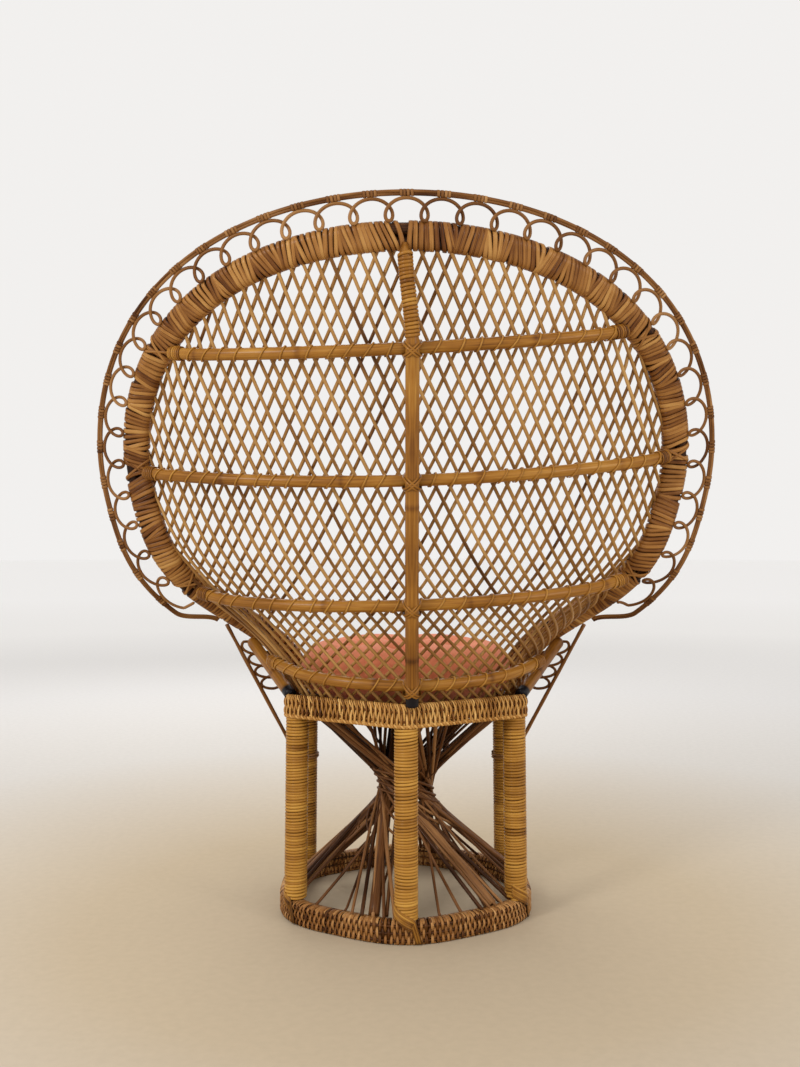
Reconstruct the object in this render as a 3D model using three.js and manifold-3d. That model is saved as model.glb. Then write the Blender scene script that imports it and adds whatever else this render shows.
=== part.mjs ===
// Peacock chair in rattan: base ring, six legs, hourglass, six-sided seat, fan back and a loose cushion.
// Millimetres, +Z up. The chair stands on Z = 0 and faces -Y.
import * as THREE from 'three';
import { mergeVertices } from 'three/addons/utils/BufferGeometryUtils.js';
import Module from 'manifold-3d';

const wasm = await Module();
wasm.setup();

// Gap left between two pieces that touch
const FIT = 0.3;
// Radii by which a piece is made too long before it is cut flat
const SPARE = 4;
// Side of the blocks that cut pieces flat
const CUT_BLOCK = 4000;

// Base ring
const BASE_OUTER = 255;
const BASE_INNER = 218;
const BASE_HEIGHT = 42;
const BASE_WALL = 4.5;
const BASE_HOOP_RADIUS = 9;
const BASE_HOOP_SIDES = 6;
const BASE_LEG_BULGE = 6;
const RING_STEPS = 36;

// Legs, one below each corner of the seat, the first one at the back
const LEG_COUNT = 6;
const LEG_CIRCLE_TOP = 238;
const LEG_CIRCLE_FOOT = 242;
const LEG_POLE_RADIUS = 15;
const LEG_WRAP_THICKNESS = 6.5;
const LEG_SIDES = 12;

// Seat
const SEAT_TOP = 430;
const APRON_HEIGHT = 44;
const APRON_CORNER = 268;
const APRON_THICKNESS = 10;
const DECK_DROP = 15;
const DECK_THICKNESS = 10;
const SEAT_HOOP_CIRCLE = 190;
const SEAT_HOOP_RADIUS = 9;
const SEAT_HOOP_SIDES = 6;

// Hourglass
const GLASS_POLES = 6;
const GLASS_POLE_RADIUS = 10.5;
const GLASS_POLE_SIDES = 8;
const GLASS_CANE_RADIUS = 3.5;
const GLASS_CANE_SIDES = 6;
const GLASS_FOOT_CIRCLE = 226;
const GLASS_TURN_DEG = 15;
const GLASS_TWIST_DEG = 162;
const GLASS_CANE_LEAD_DEG = 54;
const GLASS_CANE_TWIST_DEG = 173;
const BINDING_LOOPS = 3;
const BINDING_RADIUS = 3;
const BINDING_STEPS = 24;
const BINDING_SIDES = 6;
const BINDING_PITCH = 8;
const BINDING_CLEARANCE = 2.5;

// Curved shell that carries the lattice: a tub at the seat that opens into a leaning fan
const BACK_FOOT_Y = 211;
const LEAN_DEG = 15;
const TUB_RADIUS = 224;
const FAN_RADIUS = 900;
const FLARE_START = -100;
const FLARE_END = 340;
const FLARE_POWER = 3.7;
const LEVEL_ROUNDS = 12;

// Fan hoop, laid out on the unrolled shell: across the shell, and up along it
const HOOP_HALF_ARC = 528;
const HOOP_WIDEST = 422;
const HOOP_RISE = 396;
const ARM_UPPER_ARC = 530;
const ARM_UPPER_HEIGHT = 289;
const ARM_LOWER_ARC = 361;
const ARM_LOWER_HEIGHT = 46;
const ARM_FOOT_ARC = 466;
const HOOP_STEPS = 44;
const HOOP_POLE_RADIUS = 10.5;
const HOOP_POLE_SIDES = 6;
const HOOP_WRAP_THICKNESS = 2.5;
const HOOP_WRAP_CLEARANCE = 1.4;
const HOOP_WRAP_ARC_STEPS = 4;

// Outer rim, arm canes and the curled canes inside them
const RIM_RADIUS = 5;
const RIM_SIDES = 6;
const RIM_OFFSET = 68;
const RIM_RETURN = 55;
const RIM_RETURN_STEPS = 4;
const THROAT = 95;
const ARM_CANE_RADIUS = 4;
const ARM_CANE_SIDES = 6;
const ARM_CANE_START = 16;
const ARM_CANE_FOOT = 262;
const CURL_RADIUS = 2.6;
const CURL_CLEARANCE = 1;
const ARM_CURL_CLEARANCE = 2.5;
const CURL_STEPS = 8;
const CURL_SIDES = 5;
const CURL_LOOP = 1.95;
const CURL_LIFT = 4.2;
const RIM_CURLS = 37;
const ARM_CURLS = 4;
// Stretch of an arm that its curls fill: along the hoop from the throat, and as shares of the arm cane
const ARM_CURL_START = 70;
const ARM_CURL_LENGTH = 150;
const ARM_CURL_HIGH = 0.13;
const ARM_CURL_LOW = 0.5;

// Lattice
const CANE_RADIUS = 3.5;
const CANE_SIDES = 3;
const LAYER_GAP = 4.6;
const LATTICE_PITCH = 66;
const LATTICE_SLOPE = 0.45;
const LATTICE_LOW_STEP = 64;
const LATTICE_HIGH_STEP = 260;
const EDGE_CLEARANCE = 2;
const SEAT_EDGE_RISE = 3.8;
const SHORTEST_CANE = 34;
const SEAT_EDGE_STEPS = 16;

// Cross bars: place on the spine, and rise from end to end
const TOP_BAR_HEIGHT = 638;
const MIDDLE_BAR_HEIGHT = 414;
const LOWER_BAR_HEIGHT = 189;
const BOTTOM_BAR_HEIGHT = 38;
const BARS = [
  { name: 'cross_bar_top', height: TOP_BAR_HEIGHT, rise: 0.05 },
  { name: 'cross_bar_middle', height: MIDDLE_BAR_HEIGHT, rise: 0.03 },
  { name: 'cross_bar_lower', height: LOWER_BAR_HEIGHT, rise: 0.035 },
  { name: 'cross_bar_bottom', height: BOTTOM_BAR_HEIGHT, rise: 0 },
];
const BAR_RADIUS = 11;
const BAR_CLEARANCE = 2.8;
const BAR_STEPS = 16;
const BAR_SIDES = 8;
const BAR_END_INSET = 12;
const BOTTOM_BAR_ARC = 300;

// Spine and side posts
const SPINE_RADIUS = 14;
const SPINE_ASIDE = -9;
const SPINE_TOP_ASIDE = 3;
const SPINE_SIDES = 10;
const SPINE_STEPS = 14;
const SPINE_WRAP_THICKNESS = 3.5;
const SPINE_WRAP_LENGTH = 132;
const SPINE_WRAP_STEPS = 6;
const SPINE_WRAP_DROP = 2;
const POST_RADIUS = 12;
const POST_SIDES = 10;
const POST_CIRCLE = 252;
const POST_HEAD = 40;
const POST_CLEARANCE = 9.8;

// Cushion
const CUSHION_RADIUS = 214;
const CUSHION_HEIGHT = 112;
const CUSHION_CENTRE_Y = -8;
const CUSHION_SEGMENTS = 36;
const TUFT_CIRCLE = 108;
const TUFT_COUNT = 6;
const TUFT_DEPTH = 16;
const TUFT_SPREAD = 34;
const TUFTS_ABOVE = 0.5;

// Colours and finish
const finish = (color, roughness) => new THREE.MeshStandardMaterial({ color, roughness, metalness: 0 });
const WRAPPED = finish('#b98b4c', 0.55);
const BARE = finish('#c39a5c', 0.45);
const WOVEN = finish('#b08850', 0.6);
const DARK = finish('#4b2f1e', 0.5);
const CORAL = finish('#d67f68', 0.9);

const chair = new THREE.Group();
const up = new THREE.Vector3(0, 0, 1);

function addPart(name, geometry, material) {
  const mesh = new THREE.Mesh(geometry, material);
  mesh.name = name;
  chair.add(mesh);
  return mesh;
}

// Geometry helpers

function samples(from, to, count) {
  return Array.from({ length: count + 1 }, (_, i) => THREE.MathUtils.lerp(from, to, i / count));
}

function polygon(sides, radius, turn = 0) {
  return Array.from({ length: sides }, (_, i) => {
    const angle = turn + (i / sides) * 2 * Math.PI;
    return [radius * Math.cos(angle), radius * Math.sin(angle)];
  });
}

function stadium(halfLength, radius) {
  const right = samples(-Math.PI / 2, Math.PI / 2, HOOP_WRAP_ARC_STEPS);
  const point = (angle, centre) => [centre + radius * Math.cos(angle), radius * Math.sin(angle)];
  return [
    ...right.map((angle) => point(angle, halfLength)),
    ...right.map((angle) => point(angle + Math.PI, -halfLength)),
  ];
}

function volumeOf(positions, index) {
  const at = (i) => new THREE.Vector3().fromArray(positions, 3 * i);
  let sum = 0;
  for (let i = 0; i < index.length; i += 3) {
    sum += at(index[i]).dot(at(index[i + 1]).cross(at(index[i + 2])));
  }
  return sum / 6;
}

// Skin over rings of equal point counts; a closed loft joins its last ring to its first
function loft(rings, closed = false) {
  const sides = rings[0].length;
  const positions = rings.flat().flatMap((point) => point.toArray());
  const index = [];
  const spans = closed ? rings.length : rings.length - 1;
  for (let i = 0; i < spans; i++) {
    const here = i * sides;
    const next = ((i + 1) % rings.length) * sides;
    for (let j = 0; j < sides; j++) {
      const k = (j + 1) % sides;
      index.push(here + j, here + k, next + k, here + j, next + k, next + j);
    }
  }
  if (!closed) {
    const end = (rings.length - 1) * sides;
    for (let j = 1; j < sides - 1; j++) {
      index.push(0, j + 1, j, end, end + j, end + j + 1);
    }
  }
  if (volumeOf(positions, index) < 0) {
    index.reverse();
  }
  const geometry = new THREE.BufferGeometry();
  geometry.setAttribute('position', new THREE.Float32BufferAttribute(positions, 3));
  geometry.setIndex(index);
  return geometry;
}

// Frames along a path: side is square to the path, and normal is as near to the hint as it can be
function framesAlong(points, hints, closed = false) {
  const count = points.length;
  return points.map((point, i) => {
    const before = points[closed ? (i + count - 1) % count : Math.max(i - 1, 0)];
    const after = points[closed ? (i + 1) % count : Math.min(i + 1, count - 1)];
    const along = after.clone().sub(before).normalize();
    const hint = Array.isArray(hints) ? hints[i] : hints;
    const side = hint.clone().cross(along).normalize();
    const normal = along.clone().cross(side);
    return { point, along, side, normal };
  });
}

function ringAt(frame, section) {
  return section.map(([x, y]) => frame.point.clone()
    .addScaledVector(frame.side, x)
    .addScaledVector(frame.normal, y));
}

function sweep(frames, section, closed = false) {
  return loft(frames.map((frame) => ringAt(frame, section)), closed);
}

// Pipe with open ends
function sleeve(frames, outer, inner) {
  const rings = (section) => frames.map((frame) => ringAt(frame, section));
  return loft([...rings(outer), ...rings(inner).reverse()], true);
}

function pathTube(points, radius, sides, hint = up) {
  return sweep(framesAlong(points, hint), polygon(sides, radius));
}

// Upright piece between two centres, with level ends
function levelFrames(low, high) {
  const side = new THREE.Vector3(1, 0, 0);
  const normal = new THREE.Vector3(0, 1, 0);
  return [low, high].map((point) => ({ point, side, normal }));
}

function toSolid(geometry) {
  const bare = geometry.clone();
  bare.deleteAttribute('normal');
  bare.deleteAttribute('uv');
  const merged = mergeVertices(bare, 1e-4);
  return new wasm.Manifold(new wasm.Mesh({
    numProp: 3,
    vertProperties: new Float32Array(merged.attributes.position.array),
    triVerts: new Uint32Array(merged.index.array),
  }));
}

function toGeometry(solid) {
  const mesh = solid.getMesh();
  const geometry = new THREE.BufferGeometry();
  geometry.setAttribute('position', new THREE.BufferAttribute(new Float32Array(mesh.vertProperties), 3));
  geometry.setIndex(new THREE.BufferAttribute(new Uint32Array(mesh.triVerts), 1));
  return geometry;
}

function largestBody(solid) {
  return solid.decompose().reduce((best, body) => (body.volume() > best.volume() ? body : best));
}

function cut(geometry, ...tools) {
  const solid = tools.reduce((left, tool) => left.subtract(tool), toSolid(geometry));
  return toGeometry(largestBody(solid));
}

function join(geometries) {
  return toGeometry(geometries.map(toSolid).reduce((left, right) => left.add(right)));
}

// Large block below or above a level, to cut a piece flat there
function blockBeyond(level, direction) {
  const block = new THREE.BoxGeometry(CUT_BLOCK, CUT_BLOCK, CUT_BLOCK);
  block.translate(0, 0, level + (direction * CUT_BLOCK) / 2);
  return toSolid(block);
}

// Least gap of a tube to itself, between points that lie well apart along it
function leastOwnGap(points, radius, skip) {
  let least = Infinity;
  for (let i = 0; i < points.length; i++) {
    for (let j = i + skip; j < points.length; j++) {
      least = Math.min(least, points[i].distanceTo(points[j]));
    }
  }
  return least - 2 * radius;
}

function onCircle(radius, angle, z) {
  return new THREE.Vector3(radius * Math.sin(angle), radius * Math.cos(angle), z);
}

const legAngle = (i) => (i * 2 * Math.PI) / LEG_COUNT;

// Base ring: two stacked hoops in a woven channel that is open to the floor, all bulging out at the legs

const baseCircle = (BASE_OUTER + BASE_INNER) / 2;

function levelRing(circle, z, radius, sides, legBulge = 0) {
  const points = Array.from({ length: RING_STEPS }, (_, i) => {
    const angle = (i / RING_STEPS) * 2 * Math.PI;
    return onCircle(circle + legBulge * Math.cos(LEG_COUNT * angle), angle, z);
  });
  return sweep(framesAlong(points, up, true), polygon(sides, radius, Math.PI / 2), true);
}

function buildBase() {
  const channel = [
    [BASE_INNER, 0],
    [BASE_INNER + BASE_WALL, 0],
    [BASE_INNER + BASE_WALL, BASE_HEIGHT - BASE_WALL],
    [BASE_OUTER - BASE_WALL, BASE_HEIGHT - BASE_WALL],
    [BASE_OUTER - BASE_WALL, 0],
    [BASE_OUTER, 0],
    [BASE_OUTER, BASE_HEIGHT],
    [BASE_INNER, BASE_HEIGHT],
  ];
  const rings = Array.from({ length: RING_STEPS }, (_, i) => {
    const angle = (i / RING_STEPS) * 2 * Math.PI;
    const bulge = BASE_LEG_BULGE * Math.cos(LEG_COUNT * angle);
    return channel.map(([radius, z]) => onCircle(radius + bulge, angle, z));
  });
  addPart('base_weave', loft(rings, true), WOVEN);
  const upperHoop = BASE_HEIGHT - BASE_WALL - FIT - BASE_HOOP_RADIUS;
  const lowerHoop = upperHoop - 2 * BASE_HOOP_RADIUS - FIT;
  const hoop = (z) => levelRing(baseCircle, z, BASE_HOOP_RADIUS, BASE_HOOP_SIDES, BASE_LEG_BULGE);
  addPart('base_hoop_upper', hoop(upperHoop), BARE);
  addPart('base_hoop_lower', hoop(lowerHoop), BARE);
}

// Legs: a pole up to the seat deck, and its wrapping up to the apron

const deckTop = SEAT_TOP - DECK_DROP;
const deckUnderside = deckTop - DECK_THICKNESS;
const apronUnderside = SEAT_TOP - APRON_HEIGHT;
const legFoot = BASE_HEIGHT + FIT;
const legWrapRadius = LEG_POLE_RADIUS + FIT + LEG_WRAP_THICKNESS;
const LEG_NAMES = ['back', 'back_left', 'front_left', 'front', 'front_right', 'back_right'];

function legCentre(i, z) {
  const share = (z - legFoot) / (deckUnderside - legFoot);
  const circle = THREE.MathUtils.lerp(LEG_CIRCLE_FOOT, LEG_CIRCLE_TOP, share);
  return onCircle(circle, legAngle(i), z);
}

function buildLegs() {
  for (let i = 0; i < LEG_COUNT; i++) {
    const pole = levelFrames(legCentre(i, legFoot), legCentre(i, deckUnderside - FIT));
    const wrap = levelFrames(legCentre(i, legFoot), legCentre(i, apronUnderside - FIT));
    const bore = polygon(LEG_SIDES, LEG_POLE_RADIUS + FIT);
    addPart(`leg_pole_${LEG_NAMES[i]}`, sweep(pole, polygon(LEG_SIDES, LEG_POLE_RADIUS)), BARE);
    addPart(`leg_wrap_${LEG_NAMES[i]}`, sleeve(wrap, polygon(LEG_SIDES, legWrapRadius), bore), WRAPPED);
  }
}

// Seat: apron, deck and the hoop below the deck

const cornerShare = 1 / Math.cos(Math.PI / LEG_COUNT);
const apronInnerCorner = APRON_CORNER - APRON_THICKNESS * cornerShare;

function hexagon(corner, z) {
  return Array.from({ length: LEG_COUNT }, (_, i) => onCircle(corner, legAngle(i), z));
}

function buildSeat() {
  const apron = loft([
    hexagon(APRON_CORNER, apronUnderside),
    hexagon(APRON_CORNER, SEAT_TOP),
    hexagon(apronInnerCorner, SEAT_TOP),
    hexagon(apronInnerCorner, apronUnderside),
  ], true);
  addPart('seat_apron', apron, WOVEN);
  const deckCorner = apronInnerCorner - FIT * cornerShare;
  addPart('seat_deck', loft([hexagon(deckCorner, deckUnderside), hexagon(deckCorner, deckTop)]), WOVEN);
  const hoopLevel = deckUnderside - FIT - SEAT_HOOP_RADIUS;
  addPart('seat_hoop', levelRing(SEAT_HOOP_CIRCLE, hoopLevel, SEAT_HOOP_RADIUS, SEAT_HOOP_SIDES), BARE);
}

// Hourglass: straight poles from the base ring to the seat hoop, all twisted the same way, with canes inside

const glassTop = deckUnderside - 2 * FIT - 2 * SEAT_HOOP_RADIUS;
const glassTurn = THREE.MathUtils.degToRad(GLASS_TURN_DEG);
const glassTwist = THREE.MathUtils.degToRad(GLASS_TWIST_DEG);
const glassCaneLead = THREE.MathUtils.degToRad(GLASS_CANE_LEAD_DEG);
const glassCaneTwist = THREE.MathUtils.degToRad(GLASS_CANE_TWIST_DEG);

function glassLine(angle, twist) {
  const foot = onCircle(GLASS_FOOT_CIRCLE, angle, BASE_HEIGHT);
  const head = onCircle(SEAT_HOOP_CIRCLE, angle + twist, glassTop);
  return [foot, head];
}

// Nearest approach of a pole to the axis, and how fast the pole leaves it with height
function glassWaist() {
  const [foot, head] = glassLine(0, glassTwist);
  const flat = new THREE.Vector2(head.x - foot.x, head.y - foot.y);
  const share = -new THREE.Vector2(foot.x, foot.y).dot(flat) / flat.lengthSq();
  const point = foot.clone().lerp(head, share);
  return {
    height: point.z,
    distance: Math.hypot(point.x, point.y),
    spread: flat.length() / (head.z - foot.z),
  };
}

function buildHourglass() {
  const below = blockBeyond(BASE_HEIGHT + FIT, -1);
  const above = blockBeyond(glassTop, 1);
  for (let i = 0; i < GLASS_POLES; i++) {
    const piece = (angle, twist, radius, sides) => {
      const [foot, head] = glassLine(angle, twist);
      const along = head.clone().sub(foot).normalize();
      foot.addScaledVector(along, -SPARE * radius);
      head.addScaledVector(along, SPARE * radius);
      return cut(pathTube([foot, head], radius, sides), below, above);
    };
    const angle = glassTurn + (i / GLASS_POLES) * 2 * Math.PI;
    const pole = piece(angle, glassTwist, GLASS_POLE_RADIUS, GLASS_POLE_SIDES);
    const cane = piece(angle + glassCaneLead, glassCaneTwist, GLASS_CANE_RADIUS, GLASS_CANE_SIDES);
    addPart(`hourglass_pole_${i + 1}`, pole, DARK);
    addPart(`hourglass_cane_${i + 1}`, cane, DARK);
  }
  const waist = glassWaist();
  const stand = GLASS_POLE_RADIUS + BINDING_RADIUS + BINDING_CLEARANCE;
  const points = Array.from({ length: BINDING_LOOPS * BINDING_STEPS + 1 }, (_, i) => {
    const turns = i / BINDING_STEPS;
    const z = waist.height + (turns - BINDING_LOOPS / 2) * BINDING_PITCH;
    const poles = Math.hypot(waist.distance, (z - waist.height) * waist.spread);
    return onCircle(poles + stand, turns * 2 * Math.PI, z);
  });
  const gap = leastOwnGap(points, BINDING_RADIUS, BINDING_STEPS / 2);
  console.log('waist_binding, least gap to itself', gap.toFixed(2));
  addPart('waist_binding', pathTube(points, BINDING_RADIUS, BINDING_SIDES), DARK);
}

// Shell of the back, addressed by arc across it and height along it

const lean = THREE.MathUtils.degToRad(LEAN_DEG);
const backFoot = new THREE.Vector3(0, BACK_FOOT_Y, SEAT_TOP);
const across = new THREE.Vector3(1, 0, 0);
const upBack = new THREE.Vector3(0, Math.sin(lean), Math.cos(lean));
const forward = new THREE.Vector3(0, -Math.cos(lean), Math.sin(lean));
const backward = forward.clone().negate();

function bendAt(height) {
  const risen = THREE.MathUtils.clamp((height - FLARE_START) / (FLARE_END - FLARE_START), 0, 1);
  return THREE.MathUtils.lerp(1 / FAN_RADIUS, 1 / TUB_RADIUS, (1 - risen ** 2) ** FLARE_POWER);
}

// Sideways and forward place of a point of the shell
function levelCurve(arc, height) {
  const bend = bendAt(height);
  const round = Math.min(Math.abs(arc), Math.PI / 2 / bend);
  return {
    x: (Math.sign(arc) * Math.sin(round * bend)) / bend,
    n: (1 - Math.cos(round * bend)) / bend + Math.abs(arc) - round,
  };
}

function shellPoint(arc, height) {
  const { x, n } = levelCurve(arc, height);
  return backFoot.clone()
    .addScaledVector(across, x)
    .addScaledVector(upBack, height)
    .addScaledVector(forward, n);
}

function shellSlopes(arc, height) {
  const step = 1;
  const byArc = shellPoint(arc + step, height).sub(shellPoint(arc - step, height)).divideScalar(2 * step);
  const byHeight = shellPoint(arc, height + step).sub(shellPoint(arc, height - step)).divideScalar(2 * step);
  return { byArc, byHeight };
}

// Square to the shell, away from the sitter
function shellNormal(arc, height) {
  const { byArc, byHeight } = shellSlopes(arc, height);
  return byHeight.cross(byArc).normalize();
}

function behindShell(arc, height, distance) {
  return shellPoint(arc, height).addScaledVector(shellNormal(arc, height), distance);
}

// Height on the shell at which it reaches a level near the seat, found by going round a few times
function heightAtLevel(arc, z, depth = 0) {
  let height = 0;
  for (let i = 0; i < LEVEL_ROUNDS; i++) {
    height += (z - behindShell(arc, height, depth).z) / Math.cos(lean);
  }
  return height;
}

// Fan hoop: up one arm, over the fan and down the other arm

function hoopOutline() {
  const foot = heightAtLevel(ARM_FOOT_ARC, SEAT_TOP) - SPARE * HOOP_POLE_RADIUS;
  const arm = (side) => [
    [ARM_FOOT_ARC, foot],
    [ARM_LOWER_ARC, ARM_LOWER_HEIGHT],
    [ARM_UPPER_ARC, ARM_UPPER_HEIGHT],
    [HOOP_HALF_ARC, HOOP_WIDEST],
  ].map(([arc, height]) => new THREE.Vector2(side * arc, height));
  const path = new THREE.CurvePath();
  path.add(new THREE.CubicBezierCurve(...arm(1)));
  path.add(new THREE.EllipseCurve(0, HOOP_WIDEST, HOOP_HALF_ARC, HOOP_RISE, 0, Math.PI));
  path.add(new THREE.CubicBezierCurve(...arm(-1).reverse()));
  return path.getSpacedPoints(HOOP_STEPS);
}

const outline = hoopOutline();
const hoopFrames = framesAlong(outline.map(({ x, y }) => shellPoint(x, y)), backward);
const hoopSpread = HOOP_POLE_RADIUS + FIT / 2;
const hoopBore = HOOP_POLE_RADIUS + HOOP_WRAP_CLEARANCE;
const hoopHalfThickness = hoopBore + HOOP_WRAP_THICKNESS;
const hoopHalfWidth = hoopSpread + hoopHalfThickness;
const seatCut = blockBeyond(SEAT_TOP + FIT, -1);
// Hoop grown by the fit, to cut what ends on it
const hoopCutter = toSolid(sweep(hoopFrames, stadium(hoopSpread, hoopHalfThickness + FIT)));

function buildHoop() {
  const outer = stadium(hoopSpread, hoopHalfThickness);
  addPart('fan_hoop_wrap', cut(sleeve(hoopFrames, outer, stadium(hoopSpread, hoopBore)), seatCut), WRAPPED);
  const pole = (side) => {
    const round = polygon(HOOP_POLE_SIDES, HOOP_POLE_RADIUS, Math.PI / HOOP_POLE_SIDES);
    const section = round.map(([x, y]) => [x + side * hoopSpread, y]);
    return cut(sweep(hoopFrames, section), seatCut);
  };
  addPart('fan_hoop_pole_inner', pole(-1), BARE);
  addPart('fan_hoop_pole_outer', pole(1), BARE);
}

// Rim and arm canes, which run beside the hoop on its outer side

const hoopCurve = new THREE.CatmullRomCurve3(hoopFrames.map(({ point }) => point));
const sideCurve = new THREE.CatmullRomCurve3(hoopFrames.map(({ side }) => side));
const normalCurve = new THREE.CatmullRomCurve3(hoopFrames.map(({ normal }) => normal));
const hoopLength = hoopCurve.getLength();
const throatShare = outline.findIndex(({ y }) => y > THROAT) / HOOP_STEPS;

// Place at a share of the hoop, moved outwards and backwards from it
function besideHoop(share, outwards, backwards = 0) {
  return hoopCurve.getPoint(share)
    .addScaledVector(sideCurve.getPoint(share).normalize(), outwards)
    .addScaledVector(normalCurve.getPoint(share).normalize(), backwards);
}

function rimOffset(share) {
  const fromEnd = Math.min(share - throatShare, 1 - throatShare - share) * hoopLength;
  const rest = hoopHalfWidth + RIM_RADIUS + FIT;
  return THREE.MathUtils.lerp(rest, RIM_OFFSET, THREE.MathUtils.smoothstep(fromEnd, 0, RIM_RETURN));
}

// Curled cane in the strip between an inner and an outer edge, looping once for each curl
function curledCane(inner, outer, lift, curls, length) {
  const pitch = length / curls;
  const throwBack = (CURL_LOOP * pitch) / (2 * Math.PI);
  const count = curls * CURL_STEPS;
  return Array.from({ length: count + 1 }, (_, i) => {
    const turn = (i / CURL_STEPS) * 2 * Math.PI;
    const place = THREE.MathUtils.clamp(i / count - (throwBack * Math.sin(turn)) / length, 0, 1);
    const point = inner(place).lerp(outer(place), (1 - Math.cos(turn)) / 2);
    return point.addScaledVector(lift(place), CURL_LIFT * Math.sin(turn));
  });
}

function addCurl(name, points, hints) {
  const gap = leastOwnGap(points, CURL_RADIUS, CURL_STEPS / 2);
  console.log(`${name}, least gap to itself`, gap.toFixed(2));
  addPart(name, sweep(framesAlong(points, hints), polygon(CURL_SIDES, CURL_RADIUS)), BARE);
}

function buildRim() {
  const start = throatShare + RIM_RETURN / hoopLength;
  const hook = samples(throatShare, start, RIM_RETURN_STEPS);
  const middle = samples(start, 1 - start, HOOP_STEPS).slice(1, -1);
  const shares = [...hook, ...middle, ...hook.map((share) => 1 - share).reverse()];
  const points = shares.map((share) => besideHoop(share, rimOffset(share)));
  addPart('outer_rim', pathTube(points, RIM_RADIUS, RIM_SIDES, backward), WRAPPED);
  const shareAt = (place) => THREE.MathUtils.lerp(start, 1 - start, place);
  const inner = (place) => besideHoop(shareAt(place), hoopHalfWidth + CURL_RADIUS + FIT);
  const outer = (place) => {
    const share = shareAt(place);
    return besideHoop(share, rimOffset(share) - RIM_RADIUS - CURL_RADIUS - CURL_CLEARANCE);
  };
  const lift = (place) => normalCurve.getPoint(shareAt(place)).normalize();
  const length = (1 - 2 * start) * hoopLength;
  addCurl('rim_curl', curledCane(inner, outer, lift, RIM_CURLS, length), backward);
}

// Straight cane outside an arm, from the throat down to the front leg, and curls between it and the arm
function buildArm(side, frontLeg, label) {
  const shareAt = (length) => {
    const share = throatShare - length / hoopLength;
    return side > 0 ? share : 1 - share;
  };
  const head = besideHoop(shareAt(ARM_CANE_START), hoopHalfWidth + ARM_CANE_RADIUS + FIT);
  const foot = legCentre(frontLeg, ARM_CANE_FOOT)
    .addScaledVector(across, side * (legWrapRadius + ARM_CANE_RADIUS + FIT));
  addPart(`arm_cane_${label}`, pathTube([head, foot], ARM_CANE_RADIUS, ARM_CANE_SIDES, backward), BARE);
  const besideArm = hoopHalfWidth + CURL_RADIUS + ARM_CURL_CLEARANCE;
  const inner = (place) => besideHoop(shareAt(ARM_CURL_START + place * ARM_CURL_LENGTH), besideArm);
  const caneAt = (place) => {
    const share = THREE.MathUtils.lerp(ARM_CURL_HIGH, ARM_CURL_LOW, place);
    return head.clone().lerp(foot, share);
  };
  const outer = (place) => {
    const towards = inner(place).sub(caneAt(place)).normalize();
    return caneAt(place).addScaledVector(towards, ARM_CANE_RADIUS + CURL_RADIUS + CURL_CLEARANCE);
  };
  const down = foot.clone().sub(head);
  const lift = (place) => inner(place).sub(caneAt(place)).cross(down).setLength(side);
  const points = curledCane(inner, outer, lift, ARM_CURLS, ARM_CURL_LENGTH);
  addCurl(`arm_curl_${label}`, points, backward);
}

// Spine behind the bars, a little aside, bent in and over at its top to lie on the hoop

const caneFlat = CANE_RADIUS * Math.cos(Math.PI / CANE_SIDES);
const caneDepth = LAYER_GAP / 2 + caneFlat;
const latticeBack = caneDepth + CANE_RADIUS;
const barDepth = latticeBack + BAR_CLEARANCE + BAR_RADIUS;
const spineDepth = barDepth + BAR_RADIUS + FIT + SPINE_RADIUS;
const hoopTopHeight = HOOP_WIDEST + HOOP_RISE;

function spinePoint(height) {
  const onHoop = hoopHalfThickness + FIT + SPINE_RADIUS;
  const [bendFrom, bendTo] = [TOP_BAR_HEIGHT + BAR_RADIUS, hoopTopHeight - HOOP_POLE_RADIUS];
  const bent = THREE.MathUtils.smoothstep(height, bendFrom, bendTo);
  const aside = THREE.MathUtils.lerp(SPINE_ASIDE, SPINE_TOP_ASIDE, bent);
  return behindShell(aside, height, THREE.MathUtils.lerp(spineDepth, onHoop, bent));
}

function buildSpine() {
  const wrapTop = hoopTopHeight - hoopHalfWidth - SPINE_WRAP_DROP;
  const wrapped = samples(wrapTop - SPINE_WRAP_LENGTH, wrapTop, SPINE_WRAP_STEPS);
  const below = samples(-SPARE * SPINE_RADIUS, wrapped[0], SPINE_STEPS).slice(0, -1);
  const heights = [...below, ...wrapped, hoopTopHeight + HOOP_POLE_RADIUS];
  const frames = framesAlong(heights.map(spinePoint), across);
  addPart('spine', cut(sweep(frames, polygon(SPINE_SIDES, SPINE_RADIUS)), seatCut), BARE);
  const underWrap = frames.slice(below.length, below.length + wrapped.length);
  const bore = polygon(SPINE_SIDES, SPINE_RADIUS + FIT);
  const outside = polygon(SPINE_SIDES, SPINE_RADIUS + SPINE_WRAP_THICKNESS);
  addPart('spine_wrap', sleeve(underWrap, outside, bore), WRAPPED);
}

// Cross bars behind the lattice, cut where they meet the hoop

// Arc at which the hoop passes a height on the unrolled shell
function hoopArcAt(height) {
  const next = outline.findIndex(({ y }) => y > height);
  const [below, above] = [outline[next - 1], outline[next]];
  return THREE.MathUtils.mapLinear(height, below.y, above.y, below.x, above.x);
}

function buildBars() {
  const postCutters = [1, -1].map((side) => toSolid(postTube(side, POST_RADIUS + FIT)));
  for (const bar of BARS) {
    const reach = bar.name === 'cross_bar_bottom' ? BOTTOM_BAR_ARC : hoopArcAt(bar.height) - BAR_END_INSET;
    const place = (arc) => behindShell(arc, bar.height - bar.rise * arc, barDepth);
    const tube = pathTube(samples(-reach, reach, BAR_STEPS).map(place), BAR_RADIUS, BAR_SIDES, upBack);
    addPart(bar.name, cut(tube, hoopCutter, ...postCutters), BARE);
  }
}

// Posts from the back corners of the seat to the back of the hoop

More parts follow.
